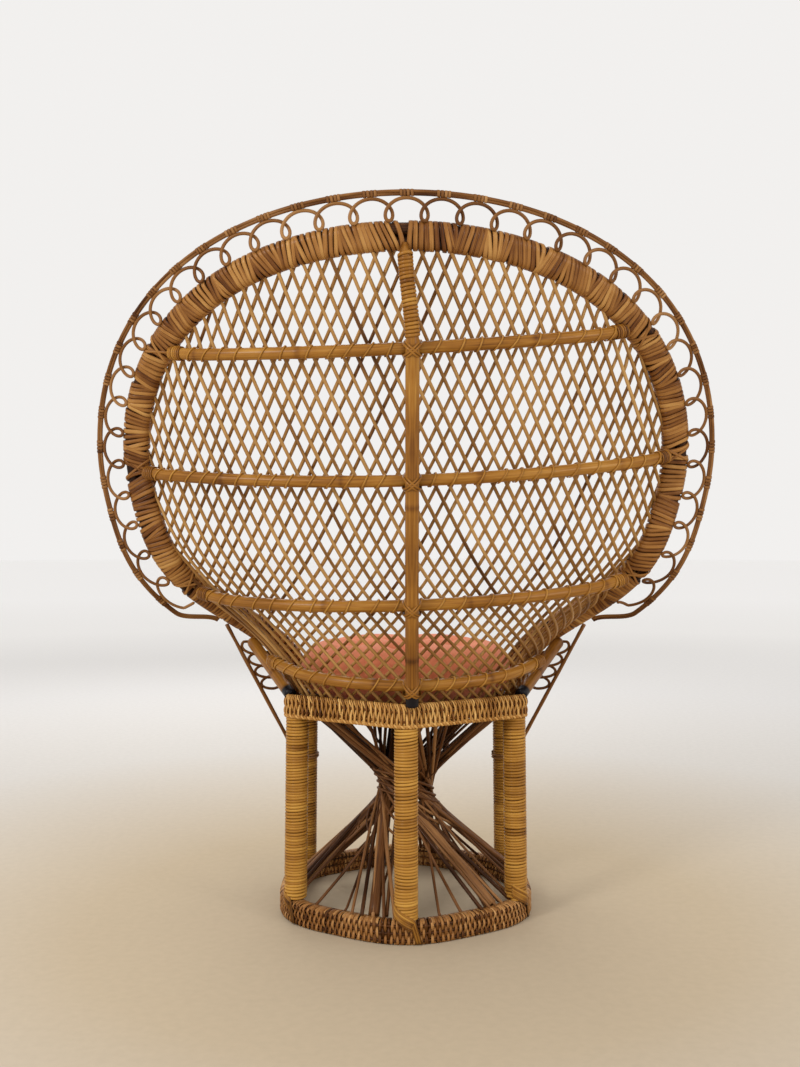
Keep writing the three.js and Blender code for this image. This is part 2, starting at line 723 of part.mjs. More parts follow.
function postTube(side, radius) {
  const foot = onCircle(POST_CIRCLE, side * legAngle(1), SEAT_TOP);
  const depth = latticeBack + POST_RADIUS + POST_CLEARANCE;
  const head = behindShell(side * hoopArcAt(POST_HEAD), POST_HEAD, depth);
  const along = head.clone().sub(foot).normalize();
  foot.addScaledVector(along, -SPARE * POST_RADIUS);
  return pathTube([foot, head], radius, POST_SIDES);
}

function buildPosts() {
  for (const [side, label] of [[1, 'left'], [-1, 'right']]) {
    addPart(`side_post_${label}`, cut(postTube(side, POST_RADIUS), seatCut, hoopCutter), BARE);
  }
}

// Lattice: two layers of slanting canes, each joined by an edge cane that follows the hoop and the seat.
// The canes are three-sided, with a flat side towards the other layer.

// Edge of the lattice on the unrolled shell: inside the hoop, then back along the top of the apron
function latticeEdge(depth) {
  const level = SEAT_TOP + SEAT_EDGE_RISE;
  const inset = hoopHalfWidth + CANE_RADIUS + EDGE_CLEARANCE;
  const beside = outline.map(({ x, y }, i) => {
    const { byArc, byHeight } = shellSlopes(x, y);
    const inwards = hoopFrames[i].along.clone().cross(shellNormal(x, y)).normalize();
    const a = byArc.lengthSq();
    const b = byArc.dot(byHeight);
    const c = byHeight.lengthSq();
    const p = inwards.dot(byArc) * inset;
    const q = inwards.dot(byHeight) * inset;
    const det = a * c - b * b;
    return new THREE.Vector2(x + (p * c - q * b) / det, y + (q * a - p * b) / det);
  }).filter(({ x, y }) => y > heightAtLevel(x, level, depth) + inset / 2);
  const first = beside[0].x;
  const last = beside[beside.length - 1].x;
  const alongSeat = samples(last, first, SEAT_EDGE_STEPS);
  return [...beside, ...alongSeat.map((arc) => new THREE.Vector2(arc, heightAtLevel(arc, level, depth)))];
}

// Heights at which a slanting line crosses the edge, from low to high
function crossings(edge, start, slant) {
  const side = ({ x, y }) => x - start - slant * y;
  const heights = [];
  edge.forEach((here, i) => {
    const next = edge[(i + 1) % edge.length];
    const from = side(here);
    const to = side(next);
    if (from < 0 !== to < 0) {
      heights.push(THREE.MathUtils.lerp(here.y, next.y, from / (from - to)));
    }
  });
  return heights.sort((low, high) => low - high);
}

// Levels shared by all canes, close together where the shell flares
function latticeLevels() {
  const levels = [];
  for (let height = -3 * LATTICE_LOW_STEP; height < hoopTopHeight;) {
    levels.push(height);
    height += height < FLARE_END ? LATTICE_LOW_STEP : LATTICE_HIGH_STEP;
  }
  return levels;
}

function buildLattice(name, direction) {
  const depth = direction * caneDepth;
  const edge = latticeEdge(depth);
  const levels = latticeLevels();
  const section = polygon(CANE_SIDES, CANE_RADIUS, (direction * Math.PI) / 2);
  const cane = (places, closed) => {
    const points = places.map(({ x, y }) => behindShell(x, y, depth));
    const normals = places.map(({ x, y }) => shellNormal(x, y));
    return sweep(framesAlong(points, normals, closed), section, closed);
  };
  const pieces = [cane(edge, true)];
  const slant = direction * LATTICE_SLOPE;
  const reach = Math.ceil((HOOP_HALF_ARC + LATTICE_SLOPE * hoopTopHeight) / LATTICE_PITCH);
  for (let i = -reach; i <= reach; i++) {
    const start = (i + 0.5) * LATTICE_PITCH;
    const heights = crossings(edge, start, slant);
    for (let k = 0; k + 1 < heights.length; k += 2) {
      const [low, high] = [heights[k], heights[k + 1]];
      const between = levels.filter((level) => level > low + CANE_RADIUS && level < high - CANE_RADIUS);
      if (high - low > SHORTEST_CANE) {
        const run = [low, ...between, high];
        pieces.push(cane(run.map((height) => new THREE.Vector2(start + slant * height, height)), false));
      }
    }
  }
  addPart(name, join(pieces), BARE);
}

// Cushion with a crown, sides drawn in below, and sewn tufts

// Share of the radius and of the height, from the underside to the crown
const CUSHION_PROFILE = [
  [0.3, 0], [0.62, 0], [0.86, 0.02], [0.965, 0.16], [1, 0.34], [0.985, 0.5],
  [0.93, 0.68], [0.82, 0.84], [0.66, 0.94], [0.48, 0.985], [0.3, 1], [0.12, 1],
];

function buildCushion() {
  const tufts = polygon(TUFT_COUNT, TUFT_CIRCLE).map(([x, y]) => new THREE.Vector2(x, y));
  tufts.push(new THREE.Vector2());
  const dimple = (point) => tufts.reduce((sum, tuft) => {
    const away = Math.hypot(point.x - tuft.x, point.y - tuft.y) / TUFT_SPREAD;
    return sum + TUFT_DEPTH * Math.exp(-away * away);
  }, 0);
  const rings = CUSHION_PROFILE.map(([wide, high]) => {
    const level = high * CUSHION_HEIGHT;
    return polygon(CUSHION_SEGMENTS, wide * CUSHION_RADIUS).map(([x, y]) => {
      const sewn = high > TUFTS_ABOVE ? dimple({ x, y }) : 0;
      return new THREE.Vector3(x, y, level - sewn);
    });
  });
  const cushion = addPart('cushion', loft(rings), CORAL);
  cushion.position.set(0, CUSHION_CENTRE_Y, deckTop + FIT);
}

buildBase();
buildLegs();
buildSeat();
buildHourglass();
buildHoop();
buildRim();
buildArm(1, 2, 'left');
buildArm(-1, 4, 'right');
buildSpine();
buildBars();
buildPosts();
buildLattice('lattice_back_layer', 1);
buildLattice('lattice_front_layer', -1);
buildCushion();

// Origin on the floor, in the middle of the part's box
const box = new THREE.Box3().setFromObject(chair);
const middle = box.getCenter(new THREE.Vector3());
chair.position.set(-middle.x, -middle.y, -box.min.z);

export default chair;
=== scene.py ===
import math

import bpy
import numpy as np
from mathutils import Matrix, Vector


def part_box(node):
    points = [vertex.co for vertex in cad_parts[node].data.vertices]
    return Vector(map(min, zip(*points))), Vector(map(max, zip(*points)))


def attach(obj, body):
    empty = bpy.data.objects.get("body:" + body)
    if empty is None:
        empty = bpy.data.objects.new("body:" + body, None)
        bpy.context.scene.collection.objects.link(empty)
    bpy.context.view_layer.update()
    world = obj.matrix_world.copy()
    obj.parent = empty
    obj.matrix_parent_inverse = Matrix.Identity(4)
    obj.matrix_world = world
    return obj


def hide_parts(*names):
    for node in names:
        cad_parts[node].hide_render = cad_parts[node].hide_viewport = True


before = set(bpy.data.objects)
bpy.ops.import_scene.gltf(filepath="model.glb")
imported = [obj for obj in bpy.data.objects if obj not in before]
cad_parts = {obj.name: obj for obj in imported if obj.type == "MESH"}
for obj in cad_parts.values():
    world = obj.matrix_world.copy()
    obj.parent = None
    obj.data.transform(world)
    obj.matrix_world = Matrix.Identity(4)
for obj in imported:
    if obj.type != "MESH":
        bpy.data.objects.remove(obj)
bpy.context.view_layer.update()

SEED = 20
MM = 0.001
TURN = 2 * math.pi
base_low, base_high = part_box("base_weave")
AXIS = np.array([(base_low[0] + base_high[0]) / 2, (base_low[1] + base_high[1]) / 2, 0.0])

# Sizes of the frame that the dressing follows
FIT = 0.3
BASE_OUTER = 255
BASE_INNER = 218
BASE_HEIGHT = 42
BASE_LEG_BULGE = 6
LEG_COUNT = 6
LEG_STEP = TURN / LEG_COUNT
LEG_CIRCLE_TOP = 238
LEG_CIRCLE_FOOT = 242
LEG_NAMES = ["back", "back_left", "front_left", "front", "front_right", "back_right"]
SEAT_TOP = 430
APRON_UNDERSIDE = 386
APRON_CORNER = 268
DECK_TOP = 415
DECK_UNDERSIDE = 405
SEAT_HOOP_CIRCLE = 190
SEAT_HOOP_RADIUS = 9
GLASS_POLES = 6
GLASS_POLE_RADIUS = 10.5
GLASS_CANE_RADIUS = 3.5
GLASS_FOOT_CIRCLE = 226
GLASS_TOP = 386.4
GLASS_TURN = math.radians(15)
GLASS_TWIST = math.radians(162)
GLASS_CANE_LEAD = math.radians(54)
GLASS_CANE_TWIST = math.radians(173)
LEAN = math.radians(15)
BACK_FOOT = np.array([0.0, 211.0, SEAT_TOP])
TUB_RADIUS = 224
FAN_RADIUS = 900
FLARE_START = -100
FLARE_END = 340
FLARE_POWER = 3.7
HOOP_HALF_ARC = 528
HOOP_WIDEST = 422
HOOP_RISE = 396
ARM_UPPER = (530, 289)
ARM_LOWER = (361, 46)
ARM_FOOT_ARC = 466
ARM_FOOT_SPARE = 42
HOOP_POLE_RADIUS = 10.5
HOOP_SPREAD = 10.65
HOOP_HALF_THICKNESS = 14.4
HOOP_HALF_WIDTH = HOOP_SPREAD + HOOP_HALF_THICKNESS
HOOP_STEPS = 44
RIM_RADIUS = 5
RIM_OFFSET = 68
RIM_RETURN = 55
THROAT = 95
RIM_CURLS = 37
ARM_CURLS = 4
CURL_RADIUS = 3.0
CURL_LOOP = 1.95
CURL_LIFT = 4.2
CURL_ON_HOOP = 10
ARM_CANE_RADIUS = 4
ARM_CANE_FOOT = 262
ARM_CANE_START = 16
ARM_CURL_START = 70
ARM_CURL_LENGTH = 150
ARM_CURL_REACH = (0.13, 0.5)
LEG_WRAP_RADIUS = 21.8
BAR_DEPTH = 21.35
BAR_RADIUS = 11
BARS = [("top", 638, 0.05), ("middle", 414, 0.03), ("lower", 189, 0.035), ("bottom", 38, 0.0)]
BOTTOM_BAR_ARC = 300
SPINE_DEPTH = 46.65
SPINE_RADIUS = 14
SPINE_ASIDE = -9
SPINE_TOP_ASIDE = 3
SPINE_WRAP = (659, 791)
HOOP_TOP_HEIGHT = HOOP_WIDEST + HOOP_RISE
POST_RADIUS = 12
POST_CIRCLE = 252
POST_HEAD = 40
POST_DEPTH = 29.35
CUSHION_RADIUS = 214
CUSHION_HEIGHT = 112
CUSHION_CENTRE_Y = -8

ACROSS = np.array([1.0, 0.0, 0.0])
TO_BACK = np.array([0.0, 1.0, 0.0])
UP = np.array([0.0, 0.0, 1.0])
UP_BACK = np.array([0.0, math.sin(LEAN), math.cos(LEAN)])
FORWARD = np.array([0.0, -math.cos(LEAN), math.sin(LEAN)])
BACKWARD = -FORWARD

# Sections of split cane, as shares of its width and thickness
OVAL = [(-0.5, 0), (-0.42, 0.7), (-0.15, 1), (0.15, 1), (0.42, 0.7), (0.5, 0)]
ARCH = [(-0.5, 0), (-0.28, 1), (0.28, 1), (0.5, 0)]
RIBBON = [(-0.5, 0), (-0.45, 0.8), (-0.2, 1), (0.2, 1), (0.45, 0.8), (0.5, 0)]
# Painted shade between neighbouring strips: how much darker the edges of a strip are than its middle, and
# between which places across it
EDGE_SHADE = 0.2
SHADED_EDGE = (0.3, 0.5)
# Range of the random start that sets one cane's fibre apart from the next one's
LAY_SPREAD = 50

rng = np.random.default_rng(SEED)


# Small geometry

def lerp(low, high, share):
    return low + (high - low) * share


def smoothstep(value, low, high):
    share = np.clip((value - low) / (high - low), 0, 1)
    return share * share * (3 - 2 * share)


def unit(vectors):
    return vectors / np.linalg.norm(vectors, axis=-1, keepdims=True)


def full_turn(count):
    return np.linspace(0, TURN, count, endpoint=False)


def on_circle(radius, angle, z):
    return np.stack(np.broadcast_arrays(radius * np.sin(angle), radius * np.cos(angle), z), -1).astype(float)


def outward(angle):
    return on_circle(1, angle, 0.0)


def straight(start, end, count):
    return lerp(start, end, np.linspace(0, 1, count)[:, None])


def rows_at(places, runs, rows):
    """Rows of a table, read off between the places where they are known."""
    return np.stack([np.interp(places, runs, column) for column in rows.T], -1)


def lengths_along(points):
    steps = np.linalg.norm(np.diff(points, axis=0), axis=1)
    return np.concatenate([[0], np.cumsum(steps)])


def wobble(count, size, waves):
    """Slow random wander of a value along a piece."""
    knots = rng.normal(0, size, waves + 2)
    return np.interp(np.linspace(0, waves + 1, count), np.arange(waves + 2), knots)


class Path:
    """Line through space with a frame at each point: side and normal are square to it."""

    def __init__(self, points, hint, closed=False):
        self.points = np.asarray(points, float)
        if closed:
            along = np.roll(self.points, -1, 0) - np.roll(self.points, 1, 0)
        else:
            along = np.gradient(self.points, axis=0)
        self.along = unit(along)
        self.side = unit(np.cross(np.broadcast_to(hint, self.points.shape), self.along))
        self.normal = np.cross(self.along, self.side)
        self.runs = lengths_along(self.points)
        self.length = self.runs[-1]
        self.closed = closed

    def at(self, run):
        """Point, along, side and normal at lengths along the path."""
        fields = (self.points, self.along, self.side, self.normal)
        point, *axes = (rows_at(run, self.runs, field) for field in fields)
        return point, *map(unit, axes)


def placed(name, data):
    thing = bpy.data.objects.new(name, data)
    bpy.context.scene.collection.objects.link(thing)
    return thing


class Strands:
    """Canes of one piece, gathered into one mesh with their tone, scorching and lay at each point."""

    def __init__(self):
        self.points, self.faces, self.count = [], [], 0
        self.tone, self.burn, self.lay = [], [], []

    def skin(self, rings, tone, burn=0.0, closed=False, shade=0.0):
        """Surface over rings of points, with capped ends unless the rings close on themselves."""
        number, sides = rings.shape[:2]
        first = rings[0] - rings[0].mean(0)
        area = np.cross(first, np.roll(first, -1, 0)).sum(0)
        if area @ (rings[1].mean(0) - rings[0].mean(0)) < 0:
            rings = rings[:, ::-1]
        index = self.count + np.arange(number * sides).reshape(number, sides)
        here, ahead = (index, np.roll(index, -1, 0)) if closed else (index[:-1], index[1:])
        quads = np.stack([here, np.roll(here, -1, 1), np.roll(ahead, -1, 1), ahead], -1)
        self.faces.append(quads.reshape(-1, 4))
        if not closed:
            self.faces += [index[:1, ::-1], index[-1:]]
        self.points.append(rings.reshape(-1, 3))
        run = lengths_along(rings.mean(1))[:, None] * MM
        turn = np.abs(np.linspace(-1, 1, sides, endpoint=False))
        lay = np.stack(np.broadcast_arrays(run, turn, rng.uniform(0, LAY_SPREAD)), -1)
        self.lay.append(lay.reshape(-1, 3))
        # A strip's tone is lowered here by the painted shade at its edges
        for store, value, less in ((self.tone, tone, shade), (self.burn, burn, 0.0)):
            spread = np.asarray(value, float).reshape(-1, 1) - less
            store.append(np.broadcast_to(spread, (number, sides)).ravel())
        self.count += number * sides
        return self

    def tube(self, path, radius, sides=8, tone=0.5, burn=0.0):
        angles = full_turn(sides)[None, :, None]
        spokes = np.cos(angles) * path.side[:, None] + np.sin(angles) * path.normal[:, None]
        radius = np.broadcast_to(radius, len(path.points))
        return self.skin(path.points[:, None] + radius[:, None, None] * spokes, tone, burn, path.closed)

    def strip(self, points, flat, out, width, thickness, tone=0.5, section=OVAL, closed=False):
        """Split cane along points: its width lies along flat, and its round face looks out."""
        flat, out = (np.broadcast_to(axis, points.shape)[:, None] for axis in (flat, out))
        across, proud = np.array(section).T[:, :, None]
        width = np.broadcast_to(width, len(points))[:, None, None]
        rings = points[:, None] + flat * across * width + out * proud * thickness
        # Painted shade at the strip's edges, taken off its tone
        shade = EDGE_SHADE * smoothstep(np.abs(across[:, 0]), *SHADED_EDGE)
        return self.skin(rings, tone, 0.0, closed, shade)

    def bent(self, points, flat, width, thickness, tone):
        """Flat strand that bends over and under others, with its width along flat."""
        flow = unit(np.gradient(points, axis=0))
        return self.strip(points, flat, np.cross(flat, flow), width, thickness, tone, ARCH)

    def to_object(self, name, material):
        mesh = bpy.data.meshes.new(name)
        faces = [face for group in self.faces for face in group.tolist()]
        mesh.from_pydata(np.concatenate(self.points) * MM + AXIS, [], faces)
        mesh.shade_smooth()
        for key, values, kind, field in (
            ("tone", self.tone, "FLOAT", "value"),
            ("burn", self.burn, "FLOAT", "value"),
            ("lay", self.lay, "FLOAT_VECTOR", "vector"),
        ):
            data = mesh.attributes.new(key, kind, "POINT").data
            data.foreach_set(field, np.concatenate(values).astype(np.float32).ravel())
        mesh.materials.append(material)
        return placed(name, mesh)


def dress(strands, name, material, slot, *nodes):
    piece = strands.to_object(name, material)
    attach(piece, "chair")
    if nodes:
        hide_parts(*nodes)


# Materials

class Look:
    """Material with the nodes that colour it. Values are numbers, colours or other nodes' outputs."""

    def __init__(self, name):
        self.material = bpy.data.materials.new(name)
        self.material.use_nodes = True
        self.tree = self.material.node_tree

    def feed(self, node, inputs):
        for key, value in inputs.items():
            if hasattr(value, "is_output"):
                self.tree.links.new(value, node.inputs[key])
            else:
                node.inputs[key].default_value = value

    def node(self, kind, output, inputs, **settings):
        node = self.tree.nodes.new("ShaderNode" + kind)
        for key, value in settings.items():
            setattr(node, key, value)
        self.feed(node, inputs)
        return node.outputs[output]

    def attribute(self, name, output="Fac"):
        return self.node("Attribute", output, {}, attribute_name=name)

    def place(self):
        return self.node("TexCoord", "Object", {})

    def noise(self, vector, scale, detail):
        return self.node("TexNoise", "Fac", {"Vector": vector, "Scale": scale, "Detail": detail})

    def calc(self, kind, *values):
        return self.node("Math", 0, dict(enumerate(values)), operation=kind)

    def swing(self, value, size):
        """Value from 0 to 1, made into one that swings by a size about zero."""
        return self.calc("MULTIPLY_ADD", value, size, -size / 2)

    def mix(self, kind, factor, first, second):
        return self.node("Mix", 2, {0: factor, 6: first, 7: second}, data_type="RGBA", blend_type=kind)

    def ramp(self, value, stops):
        output = self.node("ValToRGB", "Color", {"Fac": value})
        elements = output.node.color_ramp.elements
        while len(elements) < len(stops):
            elements.new(0.5)
        for element, (place, color) in zip(elements, stops):
            element.position = place
            element.color = (*color, 1)
        return output

    def bump(self, height, strength, distance):
        return self.node("Bump", "Normal", {"Strength": strength, "Distance": distance, "Height": height})

    def shaded(self, inputs):
        self.feed(self.tree.nodes["Principled BSDF"], inputs)
        return self.material


SCORCH = (0.007, 0.006, 0.008, 1)
# Stretch of the fibre's noise along a cane, round it and from cane to cane
FIBRE_STRETCH = (9, 7, 1)
FIBRE_SCALE = 1.6
FIBRE_SWING = 0.75
BLOTCH_SCALE = 11
BLOTCH_SWING = 0.55
SCORCH_SWING = 0.5
ROUGHNESS_SWING = 0.3
# Share of the dark tone at the ramp's darkest stop, painted shade for crevices: the lowest levels, at the
# shaded edges of strips and in deep fibre streaks, reach it
CREVICE_SHADE = 0.3


def cane_material(name, dark, middle, light, coat, roughness):
    """Cane: tone of each strand, long fibre streaks, blotches of age, scorched places and painted shade in
    crevices.
    """
    look = Look(name)
    lay = {0: look.attribute("lay", "Vector"), 1: FIBRE_STRETCH}
    fibre = look.noise(look.node("VectorMath", 0, lay, operation="MULTIPLY"), FIBRE_SCALE, 5)
    blotch = look.noise(look.place(), BLOTCH_SCALE, 3)
    level = look.calc("ADD", look.swing(fibre, FIBRE_SWING), look.swing(blotch, BLOTCH_SWING))
    level = look.calc("ADD", look.attribute("tone"), level)
    # Darkest stop of the ramp: painted crevice shade
    crevice_shade = tuple(CREVICE_SHADE * part for part in dark)
    color = look.ramp(level, [(0.0, crevice_shade), (0.22, dark), (0.52, middle), (0.95, light)])
    burn = look.attribute("burn")
    scorched = look.calc("MULTIPLY", look.calc("ADD", burn, look.swing(blotch, SCORCH_SWING)), burn)
    limit = look.node("Clamp", 0, {"Value": scorched})
    return look.shaded({
        "Base Color": look.mix("MIX", limit, color, SCORCH),
        "Roughness": look.calc("MULTIPLY_ADD", fibre, ROUGHNESS_SWING, roughness - ROUGHNESS_SWING / 2),
        "Specular IOR Level": 0.11, "Coat Weight": coat, "Coat Roughness": 0.2,
        "Normal": look.bump(fibre, 0.25, 0.0006),
    })


# Name, dark, middle and light tone, coat and roughness of each kind of cane
GOLDEN, WOVEN, WOUND, LATTICE, POLE, BROWN, CURLED, DARK = (cane_material(*kind) for kind in [
    ("golden_cane", (0.17, 0.062, 0.007), (0.42, 0.195, 0.030), (0.70, 0.40, 0.080), 0.14, 0.42),
    ("woven_cane", (0.15, 0.048, 0.006), (0.44, 0.205, 0.046), (0.78, 0.47, 0.155), 0.12, 0.42),
    ("wound_cane", (0.12, 0.037, 0.006), (0.33, 0.142, 0.033), (0.60, 0.34, 0.105), 0.12, 0.42),
    ("lattice_cane", (0.14, 0.054, 0.011), (0.34, 0.166, 0.042), (0.54, 0.31, 0.105), 0.08, 0.45),
    ("pole_cane", (0.14, 0.047, 0.006), (0.30, 0.122, 0.016), (0.52, 0.265, 0.050), 0.16, 0.38),
    ("brown_cane", (0.085, 0.026, 0.004), (0.32, 0.135, 0.036), (0.62, 0.34, 0.125), 0.08, 0.5),
    ("curled_cane", (0.08, 0.025, 0.005), (0.22, 0.092, 0.024), (0.42, 0.22, 0.080), 0.08, 0.5),
    ("dark_cane", (0.036, 0.011, 0.002), (0.145, 0.056, 0.017), (0.34, 0.165, 0.060), 0.08, 0.5),
])


# Shell of the back, by arc across it and height along it

def bend_at(height):
    risen = np.clip((height - FLARE_START) / (FLARE_END - FLARE_START), 0, 1)
    return lerp(1 / FAN_RADIUS, 1 / TUB_RADIUS, (1 - risen ** 2) ** FLARE_POWER)


def shell_point(arc, height):
    arc, height = np.broadcast_arrays(np.asarray(arc, float), np.asarray(height, float))
    bend = bend_at(height)
    rounded = np.minimum(np.abs(arc), np.pi / 2 / bend)
    sideways = np.sign(arc) * np.sin(rounded * bend) / bend
    ahead = (1 - np.cos(rounded * bend)) / bend + np.abs(arc) - rounded
    return BACK_FOOT + sideways[..., None] * ACROSS + height[..., None] * UP_BACK + ahead[..., None] * FORWARD


def shell_normal(arc, height):
    by_arc = shell_point(arc + 1, height) - shell_point(arc - 1, height)
    by_height = shell_point(arc, height + 1) - shell_point(arc, height - 1)
    return unit(np.cross(by_height, by_arc))


def behind_shell(arc, height, depth):
    arc, height, depth = np.broadcast_arrays(*(np.asarray(value, float) for value in (arc, height, depth)))
    return shell_point(arc, height) + depth[..., None] * shell_normal(arc, height)


def height_at_level(arc, z):
    height = 0.0
    for _ in range(12):
        height += (z - shell_point(arc, height)[2]) / math.cos(LEAN)
    return height


# Fan hoop

def hoop_outline():
    """Hoop on the unrolled shell, evenly spaced: up the left arm, over the fan, down the right arm."""
    foot = (ARM_FOOT_ARC, height_at_level(ARM_FOOT_ARC, SEAT_TOP) - ARM_FOOT_SPARE)
    corners = np.array([foot, ARM_LOWER, ARM_UPPER, (HOOP_HALF_ARC, HOOP_WIDEST)], float)
    t = np.linspace(0, 1, 300)[:, None]
    weights = np.hstack([(1 - t) ** 3, 3 * t * (1 - t) ** 2, 3 * t * t * (1 - t), t ** 3])
    arm = weights @ corners
    angle = np.linspace(0, np.pi, 600)[1:-1]
    top = np.stack([HOOP_HALF_ARC * np.cos(angle), HOOP_WIDEST + HOOP_RISE * np.sin(angle)], -1)
    other = arm[::-1] * (-1, 1)
    rough = np.vstack([arm, top, other])
    runs = lengths_along(rough)
    even = np.linspace(0, runs[-1], 1201)
    return rows_at(even, runs, rough)


outline = hoop_outline()
hoop = Path(shell_point(outline[:, 0], outline[:, 1]), BACKWARD)
hoop_shares = np.linspace(0, 1, len(outline))
coarse = outline[np.round(np.linspace(0, len(outline) - 1, HOOP_STEPS + 1)).astype(int)]
throat_share = np.argmax(coarse[:, 1] > THROAT) / HOOP_STEPS
hoop_start = hoop.runs[np.argmax(hoop.points[:, 2] > SEAT_TOP)]
hoop_end = hoop.length - hoop_start


def run_at(share):
    return np.interp(share, hoop_shares, hoop.runs)


def beside_hoop(share, outwards):
    point, _, side, _ = hoop.at(run_at(share))
    return point + side * np.broadcast_to(outwards, np.shape(share))[..., None]


def hoop_arc_at(height):
    following = np.argmax(outline[:, 1] > height)
    return np.interp(height, outline[following - 1:following + 1, 1], outline[following - 1:following + 1, 0])


# Windings

def circle_outline(radius):
    def place(share):
        angle = TURN * share
        out = np.stack([np.cos(angle), np.sin(angle)], -1)
        return radius * out, out
    return place


def stadium_outline(half, radius):
    """Outline of two poles side by side, from the middle of the front face round to it again."""
    bend = np.pi * radius
    stops = np.cumsum([0, half, bend, 2 * half, bend, half])

    def place(share):
        run = (share % 1) * stops[-1]
        angle = sum(np.clip((run - stop) / radius, 0, np.pi) for stop in stops[1:4:2]) - np.pi / 2
        x = np.interp(run, stops, half * np.array([0, 1, 1, -1, -1, 0]))
        out = np.stack([np.cos(angle), np.sin(angle)], -1)
        return np.stack([x, np.zeros_like(x)], -1) + radius * out, out
    return place


def wind(strands, path, place, starts, width, thickness, steps, tilt=0.0, tones=0.5, section=OVAL):
    """Winds cane round a path. Turn k starts at starts[k]; tilt moves a turn along as it goes sideways."""
    knots = np.arange(len(starts))
    turn = np.arange(knots[-1] * steps + 1) / steps

    def by_turn(values, shift=0.0):
        return np.interp(turn, knots + shift, np.broadcast_to(values, len(knots)))

    spread, facing_out = place(turn % 1)
    point, along, side, normal = path.at(by_turn(starts) + by_turn(tilt) * spread[:, 0])
    out = side * facing_out[:, :1] + normal * facing_out[:, 1:]
    points = point + side * spread[:, :1] + normal * spread[:, 1:]
    strands.strip(points, along, out, by_turn(width, 0.5), thickness, by_turn(tones, 0.5), section)


def even_starts(low, high, pitch, jitter=0.08):
    turns = max(1, round((high - low) / pitch))
    steps = pitch * (1 + rng.normal(0, jitter, turns))
    starts = np.concatenate([[0], np.cumsum(np.maximum(steps, 0.7 * pitch))])
    return low + starts * (high - low) / starts[-1]


def random_tones(count, middle=0.5, size=0.13):
    return np.clip(rng.normal(middle, size, count), 0.25, 0.95)


# Base ring: strands woven over rods outside, bent over the top and down inside

BASE_STRANDS = 306
BASE_STRAND_WIDTH = (4.7, 5.5)
BASE_STRAND_THICKNESS = 2.2
BASE_TONE = (0.76, 0.15)
# How far inside the outline a strand lies between its swings
STRAND_INSET = 3.6
# Levels that a strand runs between, outside and inside the ring
BASE_FACE = (1.2, 34.5)
BASE_LINING = (35, 1.2)
BASE_RODS = (7, 20, 33)
ROD_RADIUS = 2.4
ROD_INSET = 4.4
ROD_TONE = 0.15
WEAVE_SWING = 2.3
# Radius and level of a strand where it bends over the top of the ring
BASE_OVER = [
    (BASE_OUTER - 5, 38.6), (BASE_OUTER - 11, 41.2),
    ((BASE_OUTER + BASE_INNER) / 2, 41.8), (BASE_INNER + 9, 40.6),
]
# Section of the dark block inside the weave, which stands in for the hoops inside the ring; its near-black
# tone is painted shade seen through the gaps between strands
BASE_SHADE_BLOCK = [(BASE_INNER + 7, 3), (BASE_OUTER - 8, 3), (BASE_OUTER - 8, 37), (BASE_INNER + 7, 37)]


def bulge_at(angle):
    """How far the base ring bulges out towards its legs."""
    return BASE_LEG_BULGE * np.cos(LEG_COUNT * angle)


def base_ring(radius, z, count):
    angles = full_turn(count)
    return on_circle(radius + bulge_at(angles), angles, z)


def weave(z, rods, parity):
    """How far a strand stands out at each level as it goes over one rod and under the next."""
    return WEAVE_SWING * parity * np.cos(np.pi * (z - rods[0]) / (rods[1] - rods[0]))


def build_base():
    band = Strands()
    z_out, z_in = np.linspace(*BASE_FACE, 16), np.linspace(*BASE_LINING, 7)
    for k in range(BASE_STRANDS):
        angle = TURN * k / BASE_STRANDS + rng.normal(0, 0.0012)
        parity = 1 if k % 2 else -1
        outer = np.stack([BASE_OUTER - STRAND_INSET + weave(z_out, BASE_RODS, parity), z_out], -1)
        inner = np.stack([BASE_INNER + 4.0 - 0.7 * weave(z_in, BASE_RODS, parity), z_in], -1)
        radius, z = np.vstack([outer, BASE_OVER, inner]).T
        slant = angle + rng.normal(0, 0.004) * (z - BASE_RODS[1]) / BASE_RODS[1]
        points = on_circle(radius + bulge_at(angle), slant, z)
        band.bent(points, outward(angle + np.pi / 2), rng.uniform(*BASE_STRAND_WIDTH), BASE_STRAND_THICKNESS,
                  random_tones(1, *BASE_TONE))
    for z in BASE_RODS:
        for radius, count, sides in ((BASE_OUTER - ROD_INSET, 144, 6), (BASE_INNER + ROD_INSET, 96, 5)):
            band.tube(Path(base_ring(radius, z, count), UP, closed=True), ROD_RADIUS, sides, ROD_TONE)
    dress(band, "base_band", BROWN, "woven_band", "base_weave")
    rings = np.stack([base_ring(radius, z, 96) for radius, z in BASE_SHADE_BLOCK], 1)
    # Near-black tone of the block: painted shade inside the weave
    shade_core = Strands().skin(rings, 0.1, closed=True)
    dress(shade_core, "base_shade_core", DARK, "bare_cane", "base_hoop_upper", "base_hoop_lower")


# Legs

LEG_TURN = 5.5
LEG_FOOT = BASE_HEIGHT + FIT
LEG_STRAND = 3.0
LEG_TONE = (0.54, 0.08)
FOOT_TIES = 6
FOOT_TIE_WIDTH = 4.6
FOOT_TIE_THICKNESS = 1.8
FOOT_TIE_TONE = (0.42, 0.12)
FOOT_TIE_STEP = 4.0
# Turn and level of a foot tie's ends on the leg, then its lead and level on the base ring
TIE_TURN = (-1.5, 0.55)
TIE_LEVEL = (72, 46)
TIE_LEAD = (0.062, 0.105)
TIE_BASE_LEVEL = (40, 3)


def leg_centre(i, z):
    share = (z - LEG_FOOT) / (DECK_UNDERSIDE - LEG_FOOT)
    return on_circle(lerp(LEG_CIRCLE_FOOT, LEG_CIRCLE_TOP, share), i * LEG_STEP, z)


